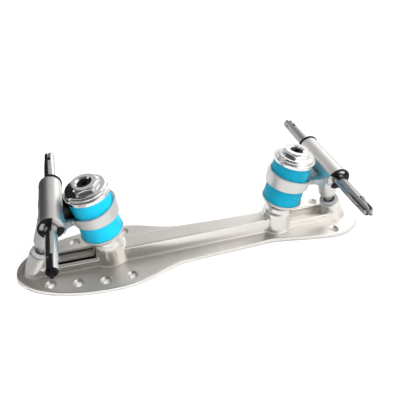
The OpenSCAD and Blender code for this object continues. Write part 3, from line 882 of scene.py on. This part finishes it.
def painted_corner_shade(tree, tone, reach, floor, coord, heel_shade_floor):
    """Tone with painted shade that darkens corners, and less of it towards the heel if asked."""
    near = node(tree, "ShaderNodeAmbientOcclusion", {"Distance": reach}, samples=8, only_local=True)
    if heel_shade_floor:
        floor = ramp(tree, part_of(tree, coord, "X"), HEEL_SHADE_FADE, floor, heel_shade_floor)
    light = ramp(tree, near.outputs["AO"], CORNER_RANGE, floor, 1.0)
    return mixed(tree, 1.0, tone, light, "MULTIPLY")


def painted_end_shade(tree, coord, tone, start):
    """Tone with painted shade: it turns dark beyond a distance from the middle along Y."""
    far = maths(tree, "ABSOLUTE", part_of(tree, coord, "Y"))
    return mixed(tree, ramp(tree, far, (start, start + END_FADE), 0, 1), tone, END_SHADE)


def shadowed(tree, tone, name):
    """Tone with painted shadow: it turns black where the mesh attribute of that name is 1."""
    depth = node(tree, "ShaderNodeAttribute", attribute_name=name)
    return mixed(tree, depth.outputs["Fac"], tone, SHADE)


def polished_sides(tree, gloss, factor):
    """Roughness that is less on upright faces than on level ones."""
    up = part_of(tree, node(tree, "ShaderNodeNewGeometry").outputs["Normal"], "Z")
    return maths(tree, "MULTIPLY", gloss, ramp(tree, up, SIDE_RANGE, factor, 1.0))


def metal(name, colour, rough, scale, spread, relief, stretch=None, reach=0.003, floor=0.5,
          upright=0.0, end_shade_from=0.0, shadow="", heel_shade_floor=0.0):
    """Metal with fine tone, gloss and surface variation, and painted shade in its corners; if asked, painted
    shade on its ends and painted shadow where an attribute marks.
    """
    finish, tree, shader, coord = blank(name)
    fine = grain(tree, coord, scale, 3, stretch)
    tone = shades(tree, grain(tree, coord, *MOTTLE), colour, 1 - spread, 1)
    if end_shade_from:
        tone = painted_end_shade(tree, coord, tone, end_shade_from)
    if shadow:
        tone = shadowed(tree, tone, shadow)
    gloss = ramp(tree, fine, NOISE_RANGE, rough * GLOSS_RANGE[0], rough * GLOSS_RANGE[1])
    if upright:
        gloss = polished_sides(tree, gloss, upright)
    tone = painted_corner_shade(tree, tone, reach, floor, coord, heel_shade_floor)
    feed(tree, shader, {"Metallic": 1.0, "Base Color": tone, "Roughness": gloss})
    bump(tree, shader, fine, relief, METAL_RELIEF)
    return finish


def coat(name, colour, tones, gloss, scales, detail, relief, strength, **settings):
    """Plain finish with fine tone, gloss and surface variation."""
    finish, tree, shader, coord = blank(name)
    fine = grain(tree, coord, scales[1], detail)
    tone = shades(tree, grain(tree, coord, scales[0]), colour, *tones)
    rough = ramp(tree, fine, NOISE_RANGE, *gloss)
    feed(tree, shader, {"Base Color": tone, "Roughness": rough, **settings})
    bump(tree, shader, fine, relief, strength)
    return finish


def make_finishes(look):
    """All finishes by name."""
    brushed = (12, 1, 12)
    return {
        # The plate and hangers get painted shade in their corners and painted shadow where their pocket
        # attribute marks, the plate less shade towards the heel.
        "plate": metal("satin_plate_aluminium", look.plate, look.plate_roughness, 2600, 0.05, 0.00002,
                       reach=0.0025, floor=0.45, upright=0.55, shadow="pocket", heel_shade_floor=1.0),
        "hanger": metal("satin_hanger_aluminium", look.hanger, look.hanger_roughness, 2600, 0.04, 0.00001,
                        reach=0.006, floor=0.15, shadow="pocket"),
        "chrome": metal("bright_chrome", look.chrome, look.chrome_roughness, 1500, 0.03, 0.000002),
        # The front and rear axles are one steel, toned apart as painted light and shade; the front one also
        # gets painted shade on its ends.
        "front_axle": metal("bright_axle_steel", look.front_axle, 0.2, 1800, 0.08, 0.000004, brushed,
                            end_shade_from=0.0549),
        "rear_axle": metal("ground_axle_steel", look.rear_axle, 0.2, 1800, 0.08, 0.000004, brushed),
        "steel": metal("zinc_steel", look.steel, 0.35, 1800, 0.1, 0.000006),
        "dark": metal("dark_hardened_steel", look.dark, 0.25, 1800, 0.15, 0.000004),
        "black": coat("black_oxide_steel", look.black, (0.7, 1.2), (0.3, 0.45), (2200, 2200), 3,
                      0.000006, 0.3, Metallic=0.6),
        "urethane": coat("cast_urethane", look.urethane, (0.93, 1.05), (0.4, 0.5), (140, 3200), 2,
                         0.00001, 0.25, **{"Specular IOR Level": 0.25}),
        "cup": coat("moulded_cup_plastic", look.cup, (0.9, 1.05), (0.4, 0.55), (2800, 2800), 3,
                    0.00001, 0.3),
    }


FINISHES = {}


def finish_of(name):
    if not FINISHES:
        FINISHES.update(make_finishes(bpy.context.scene.skate_plate.look))
    return FINISHES[name]


# Settings

def number(name, text, default, **options):
    return bpy.props.FloatProperty(name=name, description=text, default=default, **options)


def length(name, text, default):
    return number(name, text, default, unit="LENGTH", precision=5)


def angle(name, text, degrees):
    return number(name, text, radians(degrees), subtype="ANGLE")


def amount(name, text, default):
    return number(name, text, default, subtype="FACTOR", min=0.0, max=1.0)


def power(name, text, default):
    return number(name, text, default, unit="POWER")


def colour(name, text, default):
    return bpy.props.FloatVectorProperty(name=name, description=text, default=default, subtype="COLOR",
                                         size=3, min=0.0, max=1.0)


def group(kind, name, text):
    return bpy.props.PointerProperty(type=kind, name=name, description=text)


class SkatePlateSizes(bpy.types.PropertyGroup):
    plate_cell: length("Plate Mesh", "Mesh size of the plate casting", 0.00065)
    hanger_cell: length("Hanger Mesh", "Mesh size of the hanger castings", 0.0005)
    flange_edge: length("Flange Edge", "Rounding of the flange's upper edge", 0.0006)
    boss_fillet: length("Boss Fillet", "Fillet between the rib and the kingpin bosses", 0.002)
    hanger_fillet: length("Hanger Fillet", "Fillet between the hanger's arm, tube and neck", 0.002)
    thread_pitch: length("Thread Pitch", "Pitch of the kingpin's thread", 0.00125)
    cushion_bulge: length("Cushion Bulge", "Swell of the cushions between their washers", 0.00025)


class SkatePlateLook(bpy.types.PropertyGroup):
    plate: colour("Plate", "Satin aluminium of the plate", (0.87, 0.838, 0.795))
    plate_roughness: amount("Plate Roughness", "Roughness of the plate", 0.44)
    hanger: colour("Hanger", "Satin aluminium of the hangers and seat washers", (0.78, 0.765, 0.745))
    hanger_roughness: amount("Hanger Roughness", "Roughness of the hangers", 0.42)
    chrome: colour("Chrome", "Bright metal of the nuts and retainers", (0.9, 0.89, 0.88))
    chrome_roughness: amount("Chrome Roughness", "Roughness of the bright metal", 0.1)
    # Painted light and shade: the front and rear axles are one steel, given a lighter and a darker colour.
    front_axle: colour("Front Axle", "Bright steel of the front axle", (0.68, 0.68, 0.68))
    rear_axle: colour("Rear Axle", "Ground steel of the rear axle and its latches", (0.4, 0.4, 0.41))
    steel: colour("Steel", "Plated steel of pivot pins and springs", (0.5, 0.5, 0.5))
    dark: colour("Dark Steel", "Hardened steel of jam nuts and latch pins", (0.16, 0.16, 0.17))
    # Black is the clips' own colour, and painted shade on the front latches.
    black: colour("Black Steel", "Black clips, kingpins and front latches", (0.012, 0.012, 0.014))
    urethane: colour("Urethane", "Blue of the cushions", (0.003, 0.53, 0.8))
    cup: colour("Pivot Cup", "Grey plastic of the pivot cups", (0.5, 0.49, 0.5))


class SkatePlateStage(bpy.types.PropertyGroup):
    camera: bpy.props.FloatVectorProperty(
        name="Camera", description="Place of the camera", default=(-0.05999, -0.21685, 0.2165),
        subtype="TRANSLATION", size=3)
    yaw: angle("Yaw", "Turn of the view from the far side to the heel", 16.14)
    pitch: angle("Pitch", "Downward tilt of the view", 38.38)
    roll: angle("Roll", "Roll of the view", -0.45)
    lens: number("Lens", "Focal length of the camera", 38.948, unit="CAMERA")
    sensor: number("Sensor", "Width of the camera's sensor", 36.0, unit="CAMERA")
    key: power("Key Light", "Power of the key light", 18.0)
    front_key: power("Front Key Light", "Power of the light on the front truck", 0.05)
    fill: power("Fill Light", "Power of the fill light", 2.0)
    ambient: amount("Ambient", "Strength of the surrounding light", 0.5)


class SkatePlateSettings(bpy.types.PropertyGroup):
    sizes: group(SkatePlateSizes, "Sizes", "Mesh sizes, fillets and small forms")
    look: group(SkatePlateLook, "Look", "Colours and roughness of the finishes")
    stage: group(SkatePlateStage, "Stage", "Camera and light")


# Pieces

def hole_spots():
    """Centres of the screw holes in metres."""
    return [(x * MM, side * y * MM, 0) for x, y in SCREW_HOLES for _, side in SIDES]


def crisp_holes(obj):
    """Smooth shading with crisp edges only round the screw holes."""
    mesh = obj.data
    mesh.shade_smooth()
    bm = bmesh.new()
    bm.from_mesh(mesh)
    spots = [Vector(s[:2]) for s in hole_spots()]
    near = 1.1 * COUNTERSINK_R * MM
    for edge in bm.edges:
        middle = (edge.verts[0].co.xy + edge.verts[1].co.xy) / 2
        if any((middle - s).length < near for s in spots):
            edge.smooth = edge.calc_face_angle(0.0) < radians(25)
    bm.to_mesh(mesh)
    bm.free()


class SKATE_OT_plate(bpy.types.Operator):
    """Plate casting with countersunk screw holes"""
    bl_idname = "skate.plate"
    bl_label = "Plate Casting"

    def execute(self, context):
        sizes = context.scene.skate_plate.sizes
        edge = sizes.flange_edge / MM
        fillet = sizes.boss_fillet / MM
        verts, faces = cast(lambda p: plate_field(p, edge, fillet), *PLATE_BOX, sizes.plate_cell / MM)
        obj = new_object("plate_casting", verts, faces)
        spare = 2
        bit = lathe("screw_hole_bit", [
            (0, -spare, 0), (HOLE_R, -spare, 0), (HOLE_R, FLANGE_T - COUNTERSINK_R + HOLE_R, 0.1),
            (COUNTERSINK_R, FLANGE_T, 0), (COUNTERSINK_R + spare, FLANGE_T + spare, 0),
            (0, FLANGE_T + spare, 0)], np.eye(4), closed=False, count=64)
        values = {"Cutter": bit, "Finish": finish_of("plate")}
        cutter = grown("screw_hole_cutter", hole_spots(), *hole_tree(), values)
        bpy.data.objects.remove(bit)
        cut(obj, cutter)
        crisp_holes(obj)
        # Painted shadow on the floor of the front channel
        mark(obj, "pocket", channel_depth(points_of(obj) / MM))
        settle(obj, "plate", "plate", "plate")
        return {"FINISHED"}


class SKATE_OT_hangers(bpy.types.Operator):
    """Front and rear hanger castings"""
    bl_idname = "skate.hangers"
    bl_label = "Hangers"

    def execute(self, context):
        sizes = context.scene.skate_plate.sizes
        fillet = sizes.hanger_fillet / MM
        verts, faces = cast(lambda p: hanger_field(p, fillet), *HANGER_BOX, sizes.hanger_cell / MM)
        for name, end in ENDS:
            points = verts * np.array([end, 1, 1])
            obj = new_object(name + "_hanger_casting", points, faces if end == REAR else faces[:, ::-1])
            obj.data.shade_smooth()
            obj.data.set_sharp_from_angle(angle=radians(50))
            # Painted shadow in the front hanger's pocket; the rear hanger's pocket gets none.
            mark(obj, "pocket", pocket_depth(verts) * (1.0 if end == FRONT else 0.0))
            settle(obj, "hanger", name + "_hanger", name + "_hanger")
        return {"FINISHED"}


class SKATE_OT_kingpins(bpy.types.Operator):
    """Threaded kingpins with hex sockets, and their jam nuts"""
    bl_idname = "skate.kingpins"
    bl_label = "Kingpins and Jam Nuts"

    def execute(self, context):
        pitch = context.scene.skate_plate.sizes.thread_pitch
        ridge = THREAD_DEPTH * pitch / MM
        core = KINGPIN_R - 1.2 * ridge
        top = KINGPIN_TOP
        stud = circles([(0, KINGPIN_FOOT), (core, KINGPIN_FOOT), (core, top - 0.7), (core - 0.5, top)])
        stud += [hexagon(KEY_ACROSS + 0.4, top), hexagon(KEY_ACROSS, top - 0.4),
                 hexagon(KEY_ACROSS, top - KEY_DEPTH), circle(0, top - KEY_DEPTH - 0.7)]
        low, high = JAM_NUT_Z
        across = JAM_NUT_ACROSS
        hexes = ((across - 0.4, low, 0.3), (across, low + 0.38, 0.3), (across, high - 0.48, 0.3))
        bore = circles([(7.1, high), (4.9, high), (4.1, high - 0.58), (4.1, low + 0.58)])
        jam = [circle(4.5, low)] + [hexagon(*values) for values in hexes] + bore
        tree, keys = thread_tree()
        for name, end in ENDS:
            place = kingpin_place(end)
            obj = turned(name + "_kingpin_stud", stud, False, place)
            thread = grown("thread", [(0, 0, 0)], tree, keys, {
                "Radius": (KINGPIN_R - ridge) * MM, "Pitch": pitch, "Length": THREAD_LEN * MM,
                "Finish": finish_of("black")})
            put_points(thread, points_of(thread) / MM + np.array([0, 0, THREAD_FOOT]), place)
            thread.data.shade_smooth()
            merge(obj, thread)
            settle(obj, "black", "plate", name + "_kingpin")
            nut = turned(name + "_jam_nut_turned", jam, True, place)
            settle(nut, "dark", "plate", name + "_jam_nut")
        return {"FINISHED"}


class SKATE_OT_washers(bpy.types.Operator):
    """Seat washers under the cushions and retainers over them"""
    bl_idname = "skate.washers"
    bl_label = "Seat Washers and Retainers"

    def execute(self, context):
        for name, end in ENDS:
            place = kingpin_place(end)
            base, floor, rim = SEAT_Z
            seat = lathe(name + "_seat_dish", [
                (CUP_BORE_R, base, 0.2), (CUP_R - 2.4, base, 1.2), (CUP_R, floor, 1.0), (CUP_R, rim, 0.3),
                (CUP_WALL_R, rim, 0.3), (CUP_WALL_R, floor, 0.5), (CUP_BORE_R, floor, 0.2)], place)
            settle(seat, "hanger", "plate", name + "_seat_washer")
            rim, base, top = RETAINER_Z
            cup = lathe(name + "_retainer_cup", [
                (RETAINER_BORE_R, base, 0.2), (CUP_WALL_R, base, 0.4), (CUP_WALL_R, rim, 0.25),
                (CUP_R, rim, 0.3), (CUP_R, top - 0.7, 0.9), (CUP_WALL_R, top, 0.5),
                (RETAINER_BORE_R, top, 0.2)], place)
            settle(cup, "chrome", name + "_retainer", name + "_retainer")
        return {"FINISHED"}


class SKATE_OT_nuts(bpy.types.Operator):
    """Flanged hexagon nuts on the kingpins"""
    bl_idname = "skate.nuts"
    bl_label = "Adjusting Nuts"

    def execute(self, context):
        base, foot, top = NUT_Z
        flange = rounded([(NUT_BORE_R, base, 0.2), (NUT_FLANGE_R, base, 0.3), (NUT_FLANGE_R, base + 1, 0.6),
                          (NUT_FLANGE_R - 1, base + 2, 1.0), (9.9, base + 2.2, 0.1)], False)
        side = hexagon(NUT_ACROSS, foot, 0.25)
        chamfer = side.copy()
        chamfer[:, 2] = top - (np.hypot(side[:, 0], side[:, 1]) - NUT_FACE_R) / 1.33
        rows = circles(flange) + [side, chamfer]
        rows += circles([(NUT_FACE_R, top), (7.7, top + 0.02), (5.2, top + 0.02), (NUT_BORE_R, top - 0.8)])
        for name, end in ENDS:
            nut = turned(name + "_nut_turned", rows, True, kingpin_place(end), 24)
            settle(nut, "chrome", name + "_nut", name + "_adjusting_nut")
        return {"FINISHED"}


class SKATE_OT_cushions(bpy.types.Operator):
    """Urethane cushions with a slight swell between their washers"""
    bl_idname = "skate.cushions"
    bl_label = "Cushions"

    def execute(self, context):
        bulge = context.scene.skate_plate.sizes.cushion_bulge / MM
        for name, end in ENDS:
            place = kingpin_place(end)
            for kind, low, high, foot, head in CUSHIONS:
                wall = []
                for k in range(CUSHION_STEPS + 1):
                    s = k / CUSHION_STEPS
                    r = foot + (head - foot) * s + bulge * sin(pi * s)
                    wall.append((r, low + (high - low) * s))
                wall[0] = (wall[0][0] - 1.1, wall[0][1])
                wall[-1] = (wall[-1][0] - 1.1, wall[-1][1])
                wall.insert(1, (foot - 0.32, low + 0.22))
                wall.insert(-1, (head - 0.32, high - 0.22))
                bore = [(CUSHION_BORE_R, high - (high - low) * k / 8) for k in range(9)]
                title = name + "_" + kind
                obj = turned(title + "_urethane", circles(wall + bore), True, place, 60)
                obj.data.materials.append(finish_of("urethane"))
                if kind == "lower":
                    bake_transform(obj)
                else:
                    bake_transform(obj)
                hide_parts(title + "_cushion")
        return {"FINISHED"}


def half_ball(r, steps):
    """Profile of the lower half of a ball, from its pole up."""
    return [(r * sin(a), -r * cos(a), 0) for a in np.linspace(0, pi / 2, steps)]


class SKATE_OT_pivots(bpy.types.Operator):
    """Pivot cups in the plate and the pins that rest in them"""
    bl_idname = "skate.pivots"
    bl_label = "Pivot Cups and Pins"

    def execute(self, context):
        low, high = CUP_LIP_Z
        shell = [(0, CUP_FLOOR, 0), (CUP_PLUG_R, CUP_FLOOR, 0.5), (CUP_PLUG_R, low, 0.1),
                 (CUP_LIP_R, low, 0.3), (CUP_LIP_R, high, 0.6), (4.1, high, 0.5)]
        shell += half_ball(CUP_BOWL_R, 12)[::-1]
        shank = half_ball(PIN_R, 14) + [(PIN_R, PIN_TOP, 0.3), (0, PIN_TOP, 0)]
        for name, end in ENDS:
            place = pivot_place(end)
            cup = lathe(name + "_pivot_cup_moulded", shell, place, closed=False)
            settle(cup, "cup", "plate", name + "_pivot_cup")
            pin = lathe(name + "_pivot_pin_turned", shank, place, closed=False)
            settle(pin, "steel", name + "_hanger", name + "_pivot_pin")
        return {"FINISHED"}


def box_cutter(low, high, place):
    """Box between two corners, to cut with."""
    points = [[high[i] if k >> i & 1 else low[i] for i in range(3)] for k in range(8)]
    faces = [(0, 2, 3, 1), (4, 5, 7, 6), (0, 1, 5, 4), (2, 6, 7, 3), (0, 4, 6, 2), (1, 3, 7, 5)]
    return clean(new_object("box_cutter", points, faces, place), 0)


class SKATE_OT_axles(bpy.types.Operator):
    """Axles with clip grooves and slotted ends"""
    bl_idname = "skate.axles"
    bl_label = "Axles"

    def execute(self, context):
        half = [(AXLE_R, TUBE_HALF, 0.1), (GROOVE_R, TUBE_HALF, 0.1), (GROOVE_R, TUBE_HALF + GROOVE_W, 0.1),
                (AXLE_R, TUBE_HALF + GROOVE_W, 0.15), (AXLE_R, AXLE_STEP[0], 0.1),
                (AXLE_TIP_R, AXLE_STEP[1], 0.1), (AXLE_TIP_R, AXLE_HALF - AXLE_BEVEL, 0.2),
                (AXLE_TIP_R - AXLE_BEVEL, AXLE_HALF, 0.2), (0, AXLE_HALF, 0)]
        corners = [(r, -z, f) for r, z, f in half[::-1]] + half
        depth = PIN_BORE_HALF
        rows = circles([(0, -depth), (PIN_BORE_R, -depth), (PIN_BORE_R, depth), (0, depth)], 24)
        for name, end in ENDS:
            obj = lathe(name + "_axle_turned", corners, axle_place(end), closed=False)
            for _, side in SIDES:
                place = latch_place(end, side)
                cut(obj, box_cutter(SLOT_LOW, SLOT_HIGH, place))
                cut(obj, turned("pin_cutter", rows, False, place, 0))
            clean(obj, 28)
            settle(obj, name + "_axle", name + "_axle", name + "_axle")
        return {"FINISHED"}


def kidney(radius, half, middle, reach):
    """Curved slot about the origin, wound clockwise."""
    loop = []
    for side in (1, -1):
        for a in np.linspace(side * reach, -side * reach, 9):
            r = radius + side * half
            loop.append((r * cos(middle + a), r * sin(middle + a)))
        tip = middle - side * reach
        for b in np.linspace(0, pi, 7)[1:-1]:
            out = radius + side * half * cos(b)
            turn = tip - side * half / radius * sin(b)
            loop.append((out * cos(turn), out * sin(turn)))
    return loop


class SKATE_OT_clips(bpy.types.Operator):
    """Open retaining clips in the axles' grooves"""
    bl_idname = "skate.clips"
    bl_label = "Retaining Clips"

    def execute(self, context):
        last = 2 * pi - CLIP_MOUTH
        rim = [(CLIP_R, a) for a in np.linspace(CLIP_MOUTH, last, 60)]
        rim += [(CLIP_BORE_R, a) for a in np.linspace(last, CLIP_MOUTH, 40)]
        for corner, name, end, side in CORNERS:
            base = radians(CLIP_TURN[corner])
            loops = [[(r * cos(a + base), r * sin(a + base)) for r, a in rim]]
            for sign in (-1, 1):
                middle = base + sign * CLIP_SLOT_AT
                loops.append(kidney(CLIP_SLOT_R, CLIP_SLOT_HALF, middle, CLIP_SLOT_REACH))
            obj = slab(corner + "_clip_stamped", loops, CLIP_T, 0.12, clip_place(end, side))
            settle(obj, "black", name + "_axle", corner + "_clip")
        return {"FINISHED"}


class SKATE_OT_latches(bpy.types.Operator):
    """Wheel latches in the axles' ends, with their pins and leaf springs"""
    bl_idname = "skate.latches"
    bl_label = "Latches"

    def execute(self, context):
        turns = np.linspace(0, -2 * pi, 24, endpoint=False)
        hole = [(LATCH_HOLE_R * cos(a), LATCH_HOLE_R * sin(a)) for a in turns]
        pin_profile = [(0, -LATCH_PIN_HALF, 0), (LATCH_PIN_R, -LATCH_PIN_HALF, 0.2),
                       (LATCH_PIN_R, LATCH_PIN_HALF, 0.2), (0, LATCH_PIN_HALF, 0)]
        leaf = list(LEAF_PATH) + [(u, v + LEAF_T) for u, v in LEAF_PATH[::-1]]
        for corner, name, end, side in CORNERS:
            place = latch_place(end, side)
            latch = slab(corner + "_latch_stamped", [LATCH_BODY, hole], LATCH_T, 0.15, place)
            # Painted shade: the front latches take the black finish and the rear ones the rear axle's steel,
            # though all four are alike.
            finish = "black" if end == FRONT else "rear_axle"
            settle(latch, finish, corner + "_latch", corner + "_latch")
            pin = lathe(corner + "_latch_pin_turned", pin_profile, place, closed=False, count=32)
            settle(pin, "dark", name + "_axle", corner + "_latch_pin")
            spring = slab(corner + "_leaf_spring", [leaf], LEAF_W, 0.04, place)
            settle(spring, "steel", name + "_axle", corner + "_latch_spring")
            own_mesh(spring)
        return {"FINISHED"}


# Stage

def seen_rays(tree):
    """1 on camera, glossy and transmission rays."""
    path = node(tree, "ShaderNodeLightPath").outputs
    seen = maths(tree, "MAXIMUM", path["Is Camera Ray"], path["Is Glossy Ray"])
    return maths(tree, "MAXIMUM", seen, path["Is Transmission Ray"])


def flag(name, points, faces, levels):
    """Stage surface that only reflections meet, as bright as the shade of its own points."""
    obj = sheet(name, points, faces)
    mark(obj, "shade", levels)
    finish = bpy.data.materials.new(name)
    finish.use_nodes = True
    tree = finish.node_tree
    tree.nodes.clear()
    shade = node(tree, "ShaderNodeAttribute", attribute_name="shade")
    shine = node(tree, "ShaderNodeEmission", {"Strength": shade.outputs["Fac"]})
    node(tree, "ShaderNodeOutputMaterial", {"Surface": shine.outputs[0]})
    obj.data.materials.append(finish)
    obj.visible_camera = False
    obj.visible_shadow = False
    obj.visible_diffuse = False


def card(name, azimuths, elevations, distance, left, right):
    """Studio card between two bearings, shaded from left to right and never seen itself."""
    points = []
    faces = []
    levels = []
    for k in range(CARD_STEPS + 1):
        s = k / CARD_STEPS
        a = radians(azimuths[0] + (azimuths[1] - azimuths[0]) * s)
        for e in map(radians, elevations):
            ray = Vector((sin(a) * cos(e), cos(a) * cos(e), sin(e)))
            points.append(distance * ray)
            levels.append(left + (right - left) * s)
        if k:
            faces.append((2 * k - 2, 2 * k, 2 * k + 1, 2 * k - 1))
    flag(name, points, faces, levels)


def lamp(name, place, target, size, spread, power):
    """Square lamp that no reflection shows."""
    data = bpy.data.lights.new(name, "AREA")
    data.size = size
    data.spread = radians(spread)
    data.energy = power
    obj = linked(name, data)
    obj.location = place
    obj.rotation_euler = (Vector(target) - Vector(place)).to_track_quat("-Z", "Y").to_euler()
    obj.visible_glossy = False


def floor_sheet(name, points, finish_name, glow):
    """Level sheet of matt floor, whose glow is what a function puts into its node tree."""
    obj = sheet(name, points, [tuple(range(len(points)))])
    finish, tree, shader, _ = blank(finish_name)
    feed(tree, shader, {"Base Color": FLOOR_TONE, "Roughness": 0.8, "Specular IOR Level": 0.0,
                        "Emission Color": WHITE, "Emission Strength": glow(tree)})
    obj.data.materials.append(finish)


def floor_glow(tree):
    """White to whatever sees the floor, and whitest to the camera."""
    camera = node(tree, "ShaderNodeLightPath").outputs["Is Camera Ray"]
    extra = maths(tree, "MULTIPLY", camera, CAMERA_GLOW)
    return maths(tree, "MULTIPLY_ADD", seen_rays(tree), FLOOR_GLOW, extra)


def lay_floor():
    """White floor, and a darker sheet under the plate and just past its outline, a painted shadow that its
    screw holes show.
    """
    square = ((-1, -1), (1, -1), (1, 1), (-1, 1))
    points = [(FLOOR_REACH * x, FLOOR_REACH * y, FLOOR_Z) for x, y in square]
    floor_sheet("floor", points, "pale_floor", floor_glow)
    run = np.gradient(OUTLINE, axis=0)
    out = np.stack([-run[:, 1], run[:, 0]], 1) / np.linalg.norm(run, axis=1)[:, None]
    half = (OUTLINE + UNDER_MARGIN * out) * MM
    rim = [(x, y, UNDER_Z) for x, y in half] + [(x, -y, UNDER_Z) for x, y in half[-2:0:-1]]
    floor_sheet("shaded_floor", rim, "shaded_floor", lambda tree: UNDER_GLOW)

def aim_camera(stage):
    """Camera fitted to the photograph's view."""
    level = cos(stage.pitch)
    ahead = Vector((sin(stage.yaw) * level, cos(stage.yaw) * level, -sin(stage.pitch)))
    right = Vector((cos(stage.yaw), -sin(stage.yaw), 0))
    down = ahead.cross(right)
    c = cos(stage.roll)
    s = sin(stage.roll)
    turn = Matrix((c * right + s * down, s * right - c * down, -ahead)).transposed()
    data = bpy.data.cameras.new("view")
    data.lens = stage.lens
    data.sensor_width = stage.sensor
    data.sensor_fit = "HORIZONTAL"
    data.clip_start = 0.01
    camera = linked("view", data)
    camera.matrix_world = Matrix.Translation(Vector(stage.camera)) @ turn.to_4x4()
    bpy.context.scene.camera = camera


class SKATE_OT_stage(bpy.types.Operator):
    """Floor, world, studio cards, lamps and camera"""
    bl_idname = "skate.stage"
    bl_label = "Stage"

    def execute(self, context):
        scene = context.scene
        stage = scene.skate_plate.stage
        scene.view_settings.view_transform = "Standard"
        world = bpy.data.worlds.new("studio")
        scene.world = world
        world.use_nodes = True
        tree = world.node_tree
        strength = ramp(tree, seen_rays(tree), (0, 1), stage.ambient, 1.0)
        feed(tree, tree.nodes["Background"], {"Color": WHITE, "Strength": strength})
        lay_floor()
        for values in FLAGS:
            flag(*values)
        for values in CARDS:
            card(*values)
        for values in LAMPS:
            lamp(*values, getattr(stage, values[0]))
        aim_camera(stage)
        return {"FINISHED"}


OPERATORS = (SKATE_OT_plate, SKATE_OT_hangers, SKATE_OT_kingpins, SKATE_OT_washers, SKATE_OT_nuts,
             SKATE_OT_cushions, SKATE_OT_pivots, SKATE_OT_axles, SKATE_OT_clips, SKATE_OT_latches,
             SKATE_OT_stage)


class SKATE_PT_panel(bpy.types.Panel):
    """Builds the skate plate's pieces one by one"""
    bl_idname = "SKATE_PT_panel"
    bl_label = "Skate Plate"
    bl_space_type = "VIEW_3D"
    bl_region_type = "UI"
    bl_category = "Skate Plate"

    def draw(self, context):
        settings = context.scene.skate_plate
        for group in (settings.sizes, settings.look, settings.stage):
            box = self.layout.box()
            for prop in group.bl_rna.properties:
                if prop.identifier not in {"rna_type", "name"}:
                    box.prop(group, prop.identifier)
        for operator in OPERATORS:
            self.layout.operator(operator.bl_idname)


CLASSES = (SkatePlateSizes, SkatePlateLook, SkatePlateStage, SkatePlateSettings, *OPERATORS, SKATE_PT_panel)


def register():
    for cls in CLASSES:
        bpy.utils.register_class(cls)
    bpy.types.Scene.skate_plate = bpy.props.PointerProperty(type=SkatePlateSettings)


def unregister():
    del bpy.types.Scene.skate_plate
    for cls in reversed(CLASSES):
        bpy.utils.unregister_class(cls)


def main():
    register()
    bpy.ops.skate.plate()
    bpy.ops.skate.hangers()
    bpy.ops.skate.kingpins()
    bpy.ops.skate.washers()
    bpy.ops.skate.nuts()
    bpy.ops.skate.cushions()
    bpy.ops.skate.pivots()
    bpy.ops.skate.axles()
    bpy.ops.skate.clips()
    bpy.ops.skate.latches()
    bpy.ops.skate.stage()


if __name__ == "__main__":
    main()
